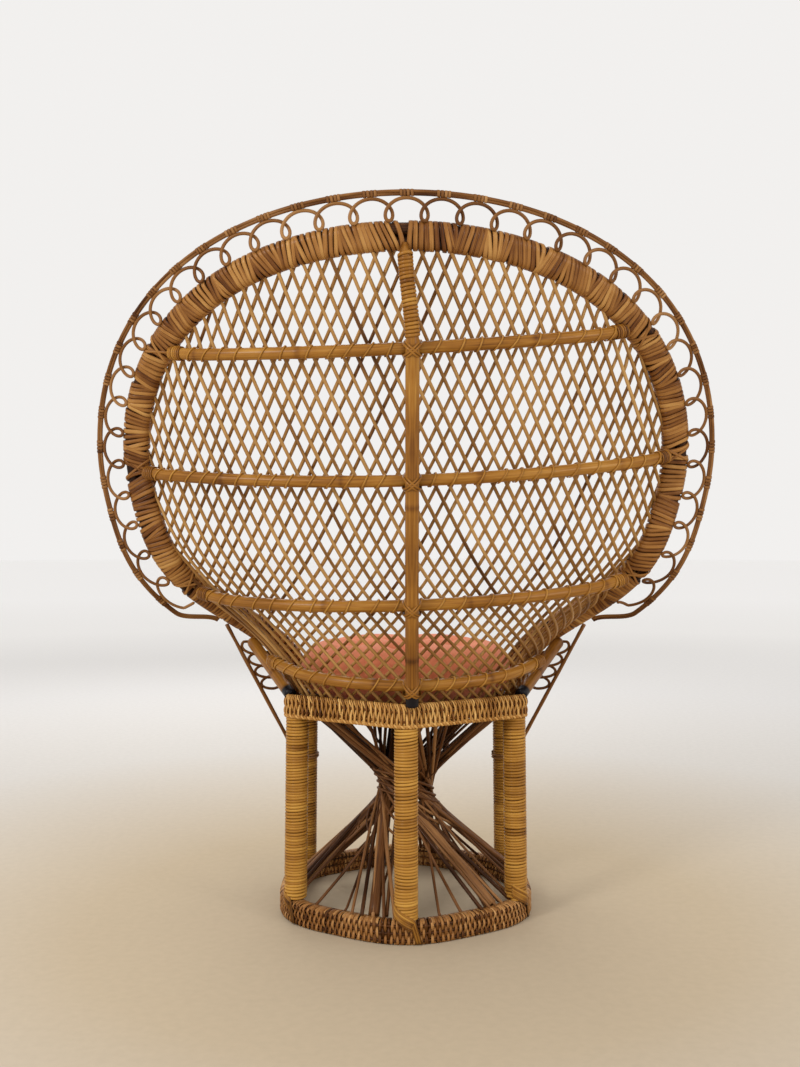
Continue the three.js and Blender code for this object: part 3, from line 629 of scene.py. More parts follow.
def foot_tie(strands, i, drop):
    """Strand that comes slanting off a leg and goes down over the base ring."""
    angle = i * LEG_STEP
    turn = np.linspace(*TIE_TURN, 14)[:, None]
    centre = leg_centre(i, np.linspace(*TIE_LEVEL, 14) - drop)
    spoke = np.cos(turn) * outward(angle) - np.sin(turn) * outward(angle + np.pi / 2)
    reach = angle - np.linspace(*TIE_LEAD, 6) + 0.0016 * drop
    on_base = on_circle(BASE_OUTER - 1.6 + bulge_at(reach), reach, np.linspace(*TIE_BASE_LEVEL, 6))
    points = np.vstack([centre + (LEG_WRAP_RADIUS - 1) * spoke, on_base])
    out = np.vstack([spoke, unit(on_base * (1, 1, 0))])
    flat = unit(np.cross(np.gradient(points, axis=0), out))
    tone = random_tones(1, *FOOT_TIE_TONE) - 0.22 * smoothstep(-points[:, 2], -52, -36)
    strands.strip(points, flat, out, FOOT_TIE_WIDTH, FOOT_TIE_THICKNESS, tone)


def build_legs():
    levels = np.linspace(LEG_FOOT, DECK_UNDERSIDE - FIT, 30)
    place = circle_outline(LEG_WRAP_RADIUS - LEG_STRAND)
    for i, name in enumerate(LEG_NAMES):
        path = Path(leg_centre(i, levels), outward(i * LEG_STEP))
        pole = Strands().tube(path, LEG_WRAP_RADIUS - LEG_STRAND - 0.3, 18, 0.3)
        dress(pole, f"leg_cane_{name}", BROWN, "bare_cane", f"leg_pole_{name}")
        winding = Strands()
        starts = even_starts(2, APRON_UNDERSIDE - LEG_FOOT, LEG_TURN, 0.1)
        tones = random_tones(len(starts), *LEG_TONE)
        tilt = wobble(len(starts), 0.05, 14)
        widths = LEG_TURN * rng.uniform(0.98, 1.16, len(starts))
        wind(winding, path, place, starts, widths, LEG_STRAND, 20, tilt, tones)
        for k in range(FOOT_TIES):
            foot_tie(winding, i, FOOT_TIE_STEP * k)
        dress(winding, f"leg_winding_{name}", GOLDEN, "wrapped_cane", f"leg_wrap_{name}")


# Seat

APRON_ROUND = 32
APRON_STRANDS = 328
APRON_STRAND_WIDTH = (4.3, 5.1)
APRON_STRAND_THICKNESS = 2.1
APRON_TONE = (0.55, 0.17)
APRON_RODS = (398, 414.5)
# Two canes twisted round each other along the apron's underside
TWIST_TURNS = 118
TWIST_STEPS = 1400
TWIST_RADIUS = 2.2
TWIST_OUT = 1.9
DECK_PITCH = 13
DECK_STRAND = (11, 1.6)
DECK_SWING = 1.5
DECK_LEVEL = (DECK_TOP + DECK_UNDERSIDE) / 2 + 1


def apron_plan(count):
    """Points and outward directions round the seat, evenly spaced along its rounded six sides."""
    apothem = APRON_CORNER * math.cos(LEG_STEP / 2)
    half = (apothem - APRON_ROUND) * math.tan(LEG_STEP / 2)
    along = np.linspace(-1, 1, 40, endpoint=False)[:, None]
    points, outs = [], []
    for i in range(LEG_COUNT):
        middle = (i - 0.5) * LEG_STEP
        out, flow = outward(middle), outward(middle + np.pi / 2)
        turned = outward(middle + np.linspace(0, 1, 20, endpoint=False) * LEG_STEP)
        corner = out * (apothem - APRON_ROUND) + flow * half + APRON_ROUND * turned
        points += [out * apothem + flow * half * along, corner]
        outs += [np.broadcast_to(out, (len(along), 3)), turned]
    points, outs = (np.vstack([*rows, rows[0][:1]]) for rows in (points, outs))
    runs = lengths_along(points)
    even = np.linspace(0, runs[-1], count, endpoint=False)
    return rows_at(even, runs, points), unit(rows_at(even, runs, outs))


def apron_profile(parity):
    """Standing out, level and slant of a strand: curled under below, woven over the rods, bent over above."""
    low, high = APRON_UNDERSIDE, SEAT_TOP
    z = np.linspace(low + 5, high - 6, 15)
    slant = 3.5 * smoothstep(z, high - 16, high)
    face = np.stack([weave(z, APRON_RODS, parity) - STRAND_INSET, z, slant], -1)
    under = [(-9.4, low + 9, 0), (-8.6, low + 3.4, 0), (-5.6, low + 1.4, 0), (-3.2, low + 2.6, 0)]
    over = [(-3.2, high - 3.2, 4.0), (-5.4, high - 1.6, 5.4), (-8.4, high - 2.2, 6.6), (-9.6, high - 8, 7.4)]
    return np.vstack([under, face, over])


def build_apron():
    band = Strands()
    profiles = [apron_profile(parity) for parity in (-1, 1)]
    lining = UP * np.linspace(APRON_UNDERSIDE + 8, SEAT_TOP - 6, 4)[:, None]
    for k, (point, out) in enumerate(zip(*apron_plan(APRON_STRANDS))):
        proud, z, slant = profiles[k % 2].T[:, :, None]
        flat = np.cross(UP, out)
        drift = -slant + rng.normal(0, 0.02) * (z - APRON_RODS[1])
        line = point + out * proud + UP * z + flat * drift
        band.bent(line, flat, rng.uniform(*APRON_STRAND_WIDTH), APRON_STRAND_THICKNESS,
                  random_tones(1, *APRON_TONE))
        band.strip(point - out * 9.2 + lining, flat, -out, 4.6, 1.4, random_tones(1, 0.4), ARCH)
    plan, plan_out = apron_plan(240)
    for z in APRON_RODS:
        band.tube(Path(plan - plan_out * ROD_INSET + UP * z, UP, closed=True), 2.5, 6, 0.2)
    ring, ring_out = apron_plan(TWIST_STEPS)
    twist = np.linspace(0, TURN * TWIST_TURNS, TWIST_STEPS, endpoint=False)[:, None]
    for phase in (0, np.pi):
        line = ring + ring_out * (TWIST_OUT * np.cos(twist + phase) - STRAND_INSET)
        line = line + UP * (APRON_UNDERSIDE + STRAND_INSET + TWIST_RADIUS * np.sin(twist + phase))
        band.tube(Path(line, UP, closed=True), TWIST_RADIUS, 6, 0.6 + 0.1 * math.cos(phase))
    dress(band, "apron_band", WOVEN, "woven_band", "seat_apron")


def deck_strands(deck, along, flat, places, reach_at, hand):
    """Strands of the deck one way, over and under those the other way."""
    for k, place in enumerate(places):
        run = np.arange(-reach_at(place), reach_at(place), DECK_PITCH / 2)[:, None]
        lift = DECK_LEVEL + hand * DECK_SWING * np.cos(np.pi * (run / DECK_PITCH + k))
        deck.strip(run * along + place * flat + lift * UP, flat, UP, *DECK_STRAND, random_tones(1), ARCH)


def build_deck():
    deck = Strands()
    slope = math.tan(math.pi / LEG_COUNT)
    apothem = (APRON_CORNER - 14) * math.cos(math.pi / LEG_COUNT)
    corner = apothem / math.cos(math.pi / LEG_COUNT)
    deck_strands(deck, TO_BACK, ACROSS, np.arange(-apothem + 6, apothem - 4, DECK_PITCH),
                 lambda place: corner - abs(place) * slope, 1)
    deck_strands(deck, ACROSS, TO_BACK, np.arange(-corner + 8, corner - 6, DECK_PITCH),
                 lambda place: min(apothem, (corner - abs(place)) / slope) - 2, -1)
    dress(deck, "deck_weave", WOUND, "woven_band", "seat_deck")
    hoop_line = on_circle(SEAT_HOOP_CIRCLE, full_turn(128), DECK_UNDERSIDE - FIT - SEAT_HOOP_RADIUS)
    ring = Strands().tube(Path(hoop_line, UP, closed=True), SEAT_HOOP_RADIUS - 0.4, 12, 0.4)
    dress(ring, "seat_hoop_cane", BROWN, "bare_cane", "seat_hoop")


# Hourglass

# Lead at the foot of the thin canes that lie along each pole, and their twist from foot to head
GLASS_BUNDLE = (-0.17, -0.085, 0.0, 0.085, 0.17)
GLASS_THIN_TWIST = math.radians(154.5)
GLASS_THIN_RADIUS = 3.3
GLASS_TONE = (0.5, 0.2)
GLASS_FANS = 24
WAIST_WRAPS = 16
WAIST_LEVEL = 228
WAIST_RADIUS = 47
# How fast the waist widens away from its level
WAIST_FLARE = 1.05
# Loops of the binding, its start below the waist, and each loop's rise and tilt
BINDING_LOOPS = 3.3
BINDING_DROP = 26
BINDING_RISE = 14
BINDING_TILT = 22
# Levels about the waist that a wrap climbs between, and how far it turns
WRAP_LEVELS = (-78, 44)
WRAP_TURN = 2.5


def glass_line(angle, twist, count=24, foot_circle=GLASS_FOOT_CIRCLE, head_circle=SEAT_HOOP_CIRCLE):
    foot = on_circle(foot_circle, angle, BASE_HEIGHT - 1.0)
    return straight(foot, on_circle(head_circle, angle + twist, GLASS_TOP + 2), count)


def thin_cane(strands, angle):
    twist = GLASS_THIN_TWIST + rng.normal(0, 0.02)
    line = glass_line(angle, twist, 30, GLASS_FOOT_CIRCLE + 11, SEAT_HOOP_CIRCLE + 12)
    bow = np.sin(np.linspace(0, np.pi, 30)) * wobble(30, 1.6, 3)
    line = line + bow[:, None] * unit(np.cross(line[-1] - line[0], UP))
    strands.tube(Path(line, UP), GLASS_THIN_RADIUS + rng.uniform(-0.5, 0.5), 8, random_tones(1, *GLASS_TONE))


def fan_cane(strands, angle, hand, up):
    """Single cane from inside the waist out to the base ring, or up to the seat hoop."""
    lead = angle - hand * rng.uniform(0.5, 1.0)
    start = on_circle(WAIST_RADIUS - 10, lead, WAIST_LEVEL + rng.uniform(-6, 6))
    if up:
        ends, sag = [on_circle(SEAT_HOOP_CIRCLE + 6, angle, GLASS_TOP - 1)], 5
    else:
        rim = BASE_INNER + bulge_at(angle)
        ends = [on_circle(rim + 6, angle, BASE_HEIGHT + 3), on_circle(rim + 13, angle, BASE_HEIGHT - 1)]
        sag = -7
    line = straight(start, ends[0], 14) + UP * sag * np.sin(np.linspace(0, np.pi, 14))[:, None]
    line = np.vstack([line, *ends[1:]])
    radius = rng.uniform(2.3, 3.1)
    strands.tube(Path(line, outward(angle + np.pi / 2)), radius, 7, random_tones(1, *GLASS_TONE))


def build_hourglass():
    for i in range(GLASS_POLES):
        angle = GLASS_TURN + i * TURN / GLASS_POLES
        line = glass_line(angle, GLASS_TWIST)
        radius = GLASS_POLE_RADIUS + wobble(len(line), 0.25, 5)
        pole = Strands().tube(Path(line, UP), radius, 14, random_tones(1, 0.55))
        for lead in GLASS_BUNDLE:
            thin_cane(pole, angle + lead + rng.normal(0, 0.012))
        dress(pole, f"glass_pole_{i + 1}", DARK, "dark_cane", f"hourglass_pole_{i + 1}")
        line = glass_line(angle + GLASS_CANE_LEAD, GLASS_CANE_TWIST)
        cane = Strands().tube(Path(line, UP), GLASS_CANE_RADIUS, 8, random_tones(1, 0.5))
        dress(cane, f"glass_cane_{i + 1}", DARK, "dark_cane", f"hourglass_cane_{i + 1}")
    ties = Strands()
    turns = np.linspace(0, BINDING_LOOPS, 150)
    z = WAIST_LEVEL - BINDING_DROP + BINDING_RISE * turns + BINDING_TILT * np.sin(TURN * turns + 0.6)
    ring = on_circle(np.hypot(WAIST_RADIUS + 1, (z - WAIST_LEVEL) * WAIST_FLARE) + 7, TURN * turns, z)
    ties.tube(Path(ring, UP), 2.8, 8, 0.45)
    share = np.linspace(0, 1, 40)
    for k in range(WAIST_WRAPS):
        z = WAIST_LEVEL + lerp(*WRAP_LEVELS, share) + rng.uniform(-8, 8)
        angle = TURN * k / WAIST_WRAPS + WRAP_TURN * share
        wrap = on_circle(np.hypot(WAIST_RADIUS - 2, (z - WAIST_LEVEL) * WAIST_FLARE) + 6, angle, z)
        ties.tube(Path(wrap, UP), rng.uniform(2.6, 3.4), 8, random_tones(1, 0.5, 0.15))
    for k in range(GLASS_FANS):
        angle = TURN * k / GLASS_FANS + rng.normal(0, 0.05)
        hand = 1 if k % 2 else -1
        fan_cane(ties, angle, hand, False)
        fan_cane(ties, angle + 0.1, -hand, True)
    dress(ties, "waist_winding", DARK, "dark_cane", "waist_binding")


# Fan hoop, rim and curls

HOOP_TURN = 8.4
HOOP_STRAND = 2.7
# Lean of a strand beside a gap in the winding, along the hoop for each unit across it
GAP_LEAN = (0.12, 0.42)
GAP_WIDTH = (2.0, 7.0)
BAR_GAP = 2.2 * HOOP_TURN
# Turns in a group, and how far ahead of it a bar's gap is looked for
GROUP_TURNS = (4, 10)
GROUP_AHEAD = (3 * HOOP_TURN, 14 * HOOP_TURN)
# Strands that cross over the winding at a bar's end
CROSS_LEAN = (0.45, 0.8)
CROSS_WIDTH = 6.2
CROSS_THICKNESS = 1.8
RIM_CANE = 2.8
RIM_SPREAD = 0.8 * RIM_CANE
RIM_TURN = 5.4
RIM_LASHING = 12
RIM_TONE = (0.55, 0.14)
CURL_STEPS = 36


def hoop_run_of(arc, height):
    """Length along the hoop of the place nearest to a point of the shell."""
    return hoop.runs[np.argmin(np.hypot(outline[:, 0] - arc, outline[:, 1] - height))]


def gap_places():
    """Places on the hoop where the winding parts for a bar's end, and last for the top of the spine."""
    places = []
    for _, height, rise in BARS[:3]:
        arc = hoop_arc_at(height)
        places += [hoop_run_of(side * arc, height - side * rise * arc) for side in (1, -1)]
    return sorted(places) + [hoop_run_of(SPINE_TOP_ASIDE, HOOP_TOP_HEIGHT)]


def grouped_starts(low, high):
    """Turns of the hoop's winding, in groups that fan out between gaps, and each turn's lean."""
    stops = [place for place in sorted(gap_places()) if low < place < high]
    starts, tilts = [low], [0.0]
    lean_in = 0.0
    while starts[-1] < high:
        turns = rng.integers(*GROUP_TURNS)
        ahead = [stop for stop in stops if GROUP_AHEAD[0] < stop - starts[-1] < GROUP_AHEAD[1]]
        side, gap = rng.choice((-1, 1)), rng.uniform(*GAP_WIDTH)
        if ahead:
            turns = max(3, round((ahead[0] - starts[-1]) / HOOP_TURN) - 1)
            side, gap = 1, BAR_GAP
        lean_out = -side * rng.uniform(*GAP_LEAN)
        for k in range(turns):
            starts.append(starts[-1] + HOOP_TURN * rng.uniform(0.75, 1.15))
            tilts.append(lerp(lean_in, lean_out, (k + 1) / turns) + rng.normal(0, 0.05))
        starts.append(starts[-1] + gap)
        lean_in = side * rng.uniform(*GAP_LEAN)
        tilts.append(lean_in)
    return np.array(starts), np.array(tilts)


def build_hoop():
    winding = Strands()
    starts, tilts = grouped_starts(hoop_start + 2, hoop_end - GROUP_AHEAD[1])
    rest = even_starts(starts[-1], hoop_end - 3, HOOP_TURN)[1:]
    starts, tilts = np.append(starts, rest), np.append(tilts, np.zeros(len(rest)))
    tones = random_tones(len(starts), 0.46)
    place = stadium_outline(HOOP_SPREAD, HOOP_HALF_THICKNESS - HOOP_STRAND)
    widths = HOOP_TURN * rng.uniform(0.9, 1.12, len(starts))
    wind(winding, hoop, place, starts, widths, HOOP_STRAND, 22, tilts, tones, RIBBON)
    over = stadium_outline(HOOP_SPREAD, HOOP_HALF_THICKNESS - 0.8)
    for run in gap_places()[:-1]:
        for hand in (1, -1):
            starts = run + rng.uniform(-5, 5) + np.array([0, 4])
            lean = hand * rng.uniform(*CROSS_LEAN)
            wind(winding, hoop, over, starts, CROSS_WIDTH, CROSS_THICKNESS, 44, lean, rng.uniform(0.4, 0.65))
    dress(winding, "hoop_winding", WOUND, "wrapped_cane", "fan_hoop_wrap")
    point, _, side, _ = hoop.at(np.linspace(hoop_start + 1, hoop_end - 1, 260))
    for label, shift in (("inner", -HOOP_SPREAD), ("outer", HOOP_SPREAD)):
        pole = Strands().tube(Path(point + side * shift, BACKWARD), HOOP_POLE_RADIUS + 0.3, 10, 0.2)
        dress(pole, f"hoop_cane_{label}", DARK, "bare_cane", f"fan_hoop_pole_{label}")


def rim_offset(share):
    from_end = np.minimum(share - throat_share, 1 - throat_share - share) * hoop.length
    rest = HOOP_HALF_WIDTH + RIM_RADIUS + FIT
    return lerp(rest, RIM_OFFSET, smoothstep(from_end, 0, RIM_RETURN))


def curl_places(curls, length, on_hoop=0.0):
    """Places from 0 to 1 along a looping cane, and how far out and how far lifted it is at each."""
    throw = CURL_LOOP * length / curls / TURN
    count = curls * CURL_STEPS
    turn = np.arange(count + 1) / CURL_STEPS * TURN
    place = np.clip(np.arange(count + 1) / count - throw * np.sin(turn) / length, 0, 1)
    reach = (1 - np.cos(turn)) / 2
    rise = CURL_LIFT * np.sin(turn) + on_hoop * (1 - reach) ** 2
    return place, reach[:, None], rise[:, None]


def build_rim():
    shares = np.linspace(throat_share, 1 - throat_share, 700)
    rim_path = Path(beside_hoop(shares, rim_offset(shares)), BACKWARD)
    rim = Strands()
    for shift in (-RIM_SPREAD, RIM_SPREAD):
        line = rim_path.points + rim_path.side * shift
        rim.tube(Path(line, BACKWARD), RIM_CANE, 8, 0.45 + wobble(len(line), 0.12, 60))
    start = throat_share + RIM_RETURN / hoop.length
    contacts = lerp(start, 1 - start, (np.arange(RIM_CURLS) + 0.5) / RIM_CURLS)
    for contact in np.interp(contacts, shares, rim_path.runs):
        starts = even_starts(contact - RIM_LASHING, contact + RIM_LASHING, RIM_TURN, 0.1)
        wind(rim, rim_path, stadium_outline(RIM_SPREAD, RIM_CANE), starts, RIM_TURN - 0.2, 0.9, 14, 0.2,
             random_tones(len(starts), *RIM_TONE))
    dress(rim, "rim_winding", CURLED, "wrapped_cane", "outer_rim")
    place, reach, rise = curl_places(RIM_CURLS, (1 - 2 * start) * hoop.length, CURL_ON_HOOP)
    share = lerp(start, 1 - start, place)
    inner = beside_hoop(share, HOOP_HALF_WIDTH - 1.0)
    outer = beside_hoop(share, rim_offset(share) - RIM_RADIUS - CURL_RADIUS)
    points = lerp(inner, outer, reach) + hoop.at(run_at(share))[3] * rise
    curls = Strands().tube(Path(points, BACKWARD), CURL_RADIUS, 8, 0.5 + wobble(len(points), 0.15, 60))
    dress(curls, "rim_curls", CURLED, "bare_cane", "rim_curl")


def build_arm(side, front_leg, label):
    def share_at(length):
        share = throat_share - length / hoop.length
        return share if side > 0 else 1 - share

    head = beside_hoop(share_at(ARM_CANE_START), HOOP_HALF_WIDTH + ARM_CANE_RADIUS + FIT)
    foot = leg_centre(front_leg, ARM_CANE_FOOT) + ACROSS * side * (LEG_WRAP_RADIUS - 1)
    cane = Strands()
    tie = np.array([0.0, 5.0, 10.0])
    tied = Path(leg_centre(front_leg, ARM_CANE_FOOT + np.linspace(0, tie[-1], 5)), BACKWARD)
    wind(cane, tied, circle_outline(LEG_WRAP_RADIUS), tie, 4.6, 3.4, 24, 0.0, 0.75)
    line = straight(head, foot, 40)
    cane.tube(Path(line, BACKWARD), ARM_CANE_RADIUS + wobble(len(line), 0.2, 8), 9)
    dress(cane, f"arm_cane_piece_{label}", CURLED, "bare_cane", f"arm_cane_{label}")
    place, reach, rise = curl_places(ARM_CURLS, ARM_CURL_LENGTH)
    inner = beside_hoop(share_at(ARM_CURL_START + place * ARM_CURL_LENGTH), HOOP_HALF_WIDTH + CURL_RADIUS)
    on_cane = lerp(head, foot, lerp(*ARM_CURL_REACH, place)[:, None])
    outer = on_cane + unit(inner - on_cane) * (ARM_CANE_RADIUS + CURL_RADIUS)
    lift = side * unit(np.cross(inner - on_cane, foot - head))
    points = lerp(inner, outer, reach) + lift * rise
    curl = Strands().tube(Path(points, BACKWARD), CURL_RADIUS)
    dress(curl, f"arm_curls_{label}", CURLED, "bare_cane", f"arm_curl_{label}")


# Spine, cross bars and posts

SPINE_TURN = 6.2
SPINE_STRAND = 2.4
SPINE_TONE = (0.55, 0.12)
SPINE_BARE = 12.4
SPINE_UNDER_WRAP = 10.4
# Where the spine's top goes in between the strands of the hoop, and how far it sinks forward there
SPINE_TIP = HOOP_TOP_HEIGHT - HOOP_HALF_WIDTH + 14
SPINE_SINK = 15
# How far inside the hoop's middle line the bars end, where they start to draw in to it, and how far
BAR_END = 18
BAR_DRAWS_IN = 75
BAR_DRAW = 8
# Length and rise of a cane's joints, how much thinner it is between them, and how dark they are
JOINT_LENGTH = 5
JOINT_RISE = 0.5
JOINT_LESS = 0.4
JOINT_SHADE = 0.22
# Slanting lashings along a bar, close ones at its ends, and crossed ones at the spine
LASHING_STEP = (26, 48)
LASHING_LEAN = (0.5, 0.95)
LASHING_WIDTH = 3.6
LASHING_TONE = 0.72
END_LASHING = (4, 28)
END_TURN = 4.6
CROSS_REACH = 18.5
CROSS_DEPTH = 27.5


def spine_point(height):
    on_hoop = HOOP_HALF_THICKNESS + FIT + SPINE_RADIUS
    bent = smoothstep(height, BARS[0][1] + BAR_RADIUS, HOOP_TOP_HEIGHT - HOOP_POLE_RADIUS)
    aside = lerp(SPINE_ASIDE, SPINE_TOP_ASIDE, bent)
    return behind_shell(aside, height, lerp(SPINE_DEPTH, on_hoop, bent))


def jointed(runs, radius, spacing):
    """Radius along a cane with the low swellings of its joints, and how dark each joint is."""
    swell = np.zeros_like(runs)
    place = runs[0] + spacing * rng.uniform(0.2, 0.8)
    while place < runs[-1]:
        swell = np.maximum(swell, np.exp(-((runs - place) / JOINT_LENGTH) ** 2))
        place += spacing * rng.uniform(0.75, 1.25)
    return radius - JOINT_LESS + JOINT_RISE * swell, JOINT_SHADE * swell


def build_spine():
    heights = np.linspace(-14, SPINE_TIP, 240)
    points = spine_point(heights)
    keep = points[:, 2] > SEAT_TOP - 4
    heights, points = heights[keep], points[keep]
    sunk = smoothstep(heights, HOOP_TOP_HEIGHT - HOOP_HALF_WIDTH - 6, SPINE_TIP)
    path = Path(points + SPINE_SINK * sunk[:, None] * FORWARD, ACROSS)
    radius, knots = jointed(path.runs, SPINE_BARE, 260)
    slim = smoothstep(heights, SPINE_WRAP[0] - 12, SPINE_WRAP[0] + 4)
    radius = lerp(radius, SPINE_UNDER_WRAP, slim) * (1 - 0.5 * sunk)
    burn = 1.4 * smoothstep(-path.runs, -36, -10)
    # Painted shade: the sunk tip is darker where it goes in between the hoop's strands
    tone = 0.42 - knots + wobble(len(path.points), 0.06, 9) - 0.2 * sunk
    dress(Strands().tube(path, radius, 18, tone, burn), "spine_cane", POLE, "bare_cane", "spine")
    winding = Strands()
    starts = even_starts(*np.interp(SPINE_WRAP, heights, path.runs), SPINE_TURN, 0.06)
    wind(winding, path, circle_outline(SPINE_UNDER_WRAP + 0.2), starts, SPINE_TURN + 0.1, SPINE_STRAND, 18,
         tones=random_tones(len(starts), *SPINE_TONE))
    dress(winding, "spine_winding", POLE, "wrapped_cane", "spine_wrap")


def hoop_beside(points):
    """Nearest places of the hoop, and how far points lie outside and behind them."""
    near = np.argmin(np.linalg.norm(points[:, None] - hoop.points[None], axis=2), axis=1)
    away = points - hoop.points[near]
    return near, (away * hoop.side[near]).sum(1), (away * hoop.normal[near]).sum(1)


def bar_path(height, rise, reach):
    arcs = np.linspace(-reach, reach, 200)
    points = behind_shell(arcs, height - rise * arcs, BAR_DEPTH)
    near, outside, _ = hoop_beside(points)
    drawn = BAR_DRAW * smoothstep(outside, -BAR_DRAWS_IN, -BAR_END)
    return Path((points - hoop.normal[near] * drawn[:, None])[outside < -BAR_END], BACKWARD)


def tie_to_spine(lashings, height):
    """Crossed loops that tie a bar to the spine, two each way."""
    centre = behind_shell(SPINE_ASIDE, height, (BAR_DEPTH + SPINE_DEPTH) / 2)
    normal = shell_normal(np.array(0.0), np.array(float(height)))
    angle = full_turn(40)[:, None]
    squared = np.sign(np.cos(angle)) * np.abs(np.cos(angle)) ** 0.8
    for lean in (1, -1):
        diagonal = unit(ACROSS * 0.75 + UP_BACK * lean * 0.66)
        flat = np.cross(diagonal, normal)
        out = unit(diagonal * np.cos(angle) + normal * np.sin(angle))
        for step in (-2.4, 2.4):
            ring = centre + flat * step + diagonal * CROSS_REACH * squared
            lashings.strip(ring + normal * CROSS_DEPTH * np.sin(angle), flat, out, 4.4, 1.4, closed=True)


def build_bars():
    lashings = Strands()
    round_bar = circle_outline(BAR_RADIUS + 0.1)
    for name, height, rise in BARS:
        path = bar_path(height, rise, BOTTOM_BAR_ARC if name == "bottom" else hoop_arc_at(height))
        radius, knots = jointed(path.runs, BAR_RADIUS, 230)
        bar = Strands().tube(path, radius, 16, 0.52 - knots + wobble(len(path.points), 0.07, 8))
        dress(bar, f"bar_{name}", POLE, "bare_cane", f"cross_bar_{name}")
        run = 34.0
        while run < path.length - 30:
            starts = run + np.array([0.0, 3.0])
            lean = rng.uniform(*LASHING_LEAN)
            wind(lashings, path, round_bar, starts, LASHING_WIDTH, 2.0, 24, lean, LASHING_TONE)
            run += rng.uniform(*LASHING_STEP)
        for low, high in (END_LASHING, [path.length - end for end in END_LASHING[::-1]]):
            starts = even_starts(low, high, END_TURN, 0.1)
            wind(lashings, path, round_bar, starts, END_TURN, 1.8, 18, 0.0, random_tones(len(starts), 0.45))
        tie_to_spine(lashings, height)
    dress(lashings, "bar_lashings", POLE, "wrapped_cane")


def build_posts():
    for side, label in ((1, "left"), (-1, "right")):
        foot = on_circle(POST_CIRCLE, side * LEG_STEP, SEAT_TOP - 2.0)
        head = behind_shell(side * hoop_arc_at(POST_HEAD), POST_HEAD, POST_DEPTH)
        path = Path(straight(foot, head, 40), ACROSS)
        radius, knots = jointed(path.runs, POST_RADIUS, 120)
        radius = radius * np.sqrt(np.clip((path.length - path.runs + 2) / 9, 0.05, 1))
        post = Strands().tube(path, radius, 16, 0.45 - knots, 1.3 * smoothstep(-path.runs, -30, -8))
        dress(post, f"post_{label}", POLE, "bare_cane", f"side_post_{label}")


# Lattice

LATTICE_PITCH = 25.5
LATTICE_RADIUS = 3.15
LATTICE_DEPTH = 3.5
SHORTEST_CANE = 30
LATTICE_STEP = 4.0
LATTICE_START = -120
LATTICE_TONE = (0.55, 0.1)
# Slope of the canes by the seat and on the fan, heights between which it changes, and how much less it is
# where the fan ends, over the height that this takes
SLOPE_BY_SEAT = 0.9
SLOPE_ON_FAN = 0.505
SLOPE_CHANGES = (80, 340)
SLOPE_LESS = 0.08
SLOPE_LESS_OVER = 400
# Distances inside the hoop between which the canes draw in to its mid plane
LATTICE_TUCK = (60, 18)
# How well shell and hoop face the same way there: not at the arms, where the shell runs into the hoop
TUCK_FACING = (0.45, 0.75)


def lattice_slope(height):
    """Sideways run of a cane for each unit of height: flat near the seat, steeper up the fan."""
    slope = lerp(SLOPE_BY_SEAT, SLOPE_ON_FAN, smoothstep(height, *SLOPE_CHANGES))
    return slope - SLOPE_LESS * np.clip((height - SLOPE_CHANGES[1]) / SLOPE_LESS_OVER, 0, 1)


def inside_hoop(arcs, heights):
    ahead = np.roll(outline, -1, 0)
    crosses = (outline[:, 1] > heights[:, None]) != (ahead[:, 1] > heights[:, None])
    rise = np.where(ahead[:, 1] == outline[:, 1], 1, ahead[:, 1] - outline[:, 1])
    meet = outline[:, 0] + (heights[:, None] - outline[:, 1]) * (ahead[:, 0] - outline[:, 0]) / rise
    return (crosses & (arcs[:, None] < meet)).sum(1) % 2 == 1


facing = np.abs((shell_normal(outline[:, 0], outline[:, 1]) * hoop.normal).sum(1))
hoop_facing = smoothstep(facing, *TUCK_FACING)


def build_lattice(name, node, direction):
    layer = Strands()
    heights = np.arange(LATTICE_START, HOOP_TOP_HEIGHT, LATTICE_STEP)
    drift = np.cumsum(lattice_slope(heights)) * LATTICE_STEP
    drift = drift - np.interp(HOOP_WIDEST, heights, drift)
    reach = math.ceil((HOOP_HALF_ARC + np.abs(drift).max()) / LATTICE_PITCH)
    for i in range(-reach, reach + 1):
        arcs = (i + 0.5) * LATTICE_PITCH + rng.normal(0, 1.0) + direction * drift
        level = shell_point(arcs, heights)[:, 2]
        inside = inside_hoop(arcs, heights) & (level > DECK_TOP + 2)
        edges = np.flatnonzero(np.diff(np.concatenate([[0], inside.astype(int), [0]])))
        for low, high in zip(edges[::2], edges[1::2]):
            if (high - low) * LATTICE_STEP < SHORTEST_CANE:
                continue
            pick = np.unique(np.append(np.arange(low, high, 4), high - 1))
            wander = wobble(len(pick), 0.9, 5)
            depth = direction * LATTICE_DEPTH + wobble(len(pick), 0.25, 4)
            points = behind_shell(arcs[pick] + wander, heights[pick], depth)
            near, outside, behind = hoop_beside(points)
            tuck = smoothstep(outside, -LATTICE_TUCK[0], -LATTICE_TUCK[1]) * hoop_facing[near]
            points = points + hoop.normal[near] * (tuck * (direction * LATTICE_DEPTH - behind))[:, None]
            tone = random_tones(1, *LATTICE_TONE) + wobble(len(pick), 0.06, 4)
            layer.tube(Path(points, ACROSS), LATTICE_RADIUS * rng.uniform(0.92, 1.08), 7, tone)
    dress(layer, name, LATTICE, "bare_cane", node)


build_base()
build_legs()
build_apron()
build_deck()
build_hourglass()
build_hoop()
build_rim()
build_arm(1, 2, "left")
build_arm(-1, 4, "right")
build_spine()
build_bars()
build_posts()
build_lattice("lattice_back_canes", "lattice_back_layer", 1)
build_lattice("lattice_front_canes", "lattice_front_layer", -1)


# Cushion

TUFT_CIRCLE = 108
TUFT_COUNT = 6
TUFT_DEPTH = 17
TUFT_SPREAD = 33
# Sharp pinch of the thread at the middle of each tuft
PINCH_DEPTH = 7
PINCH_SPREAD = 7
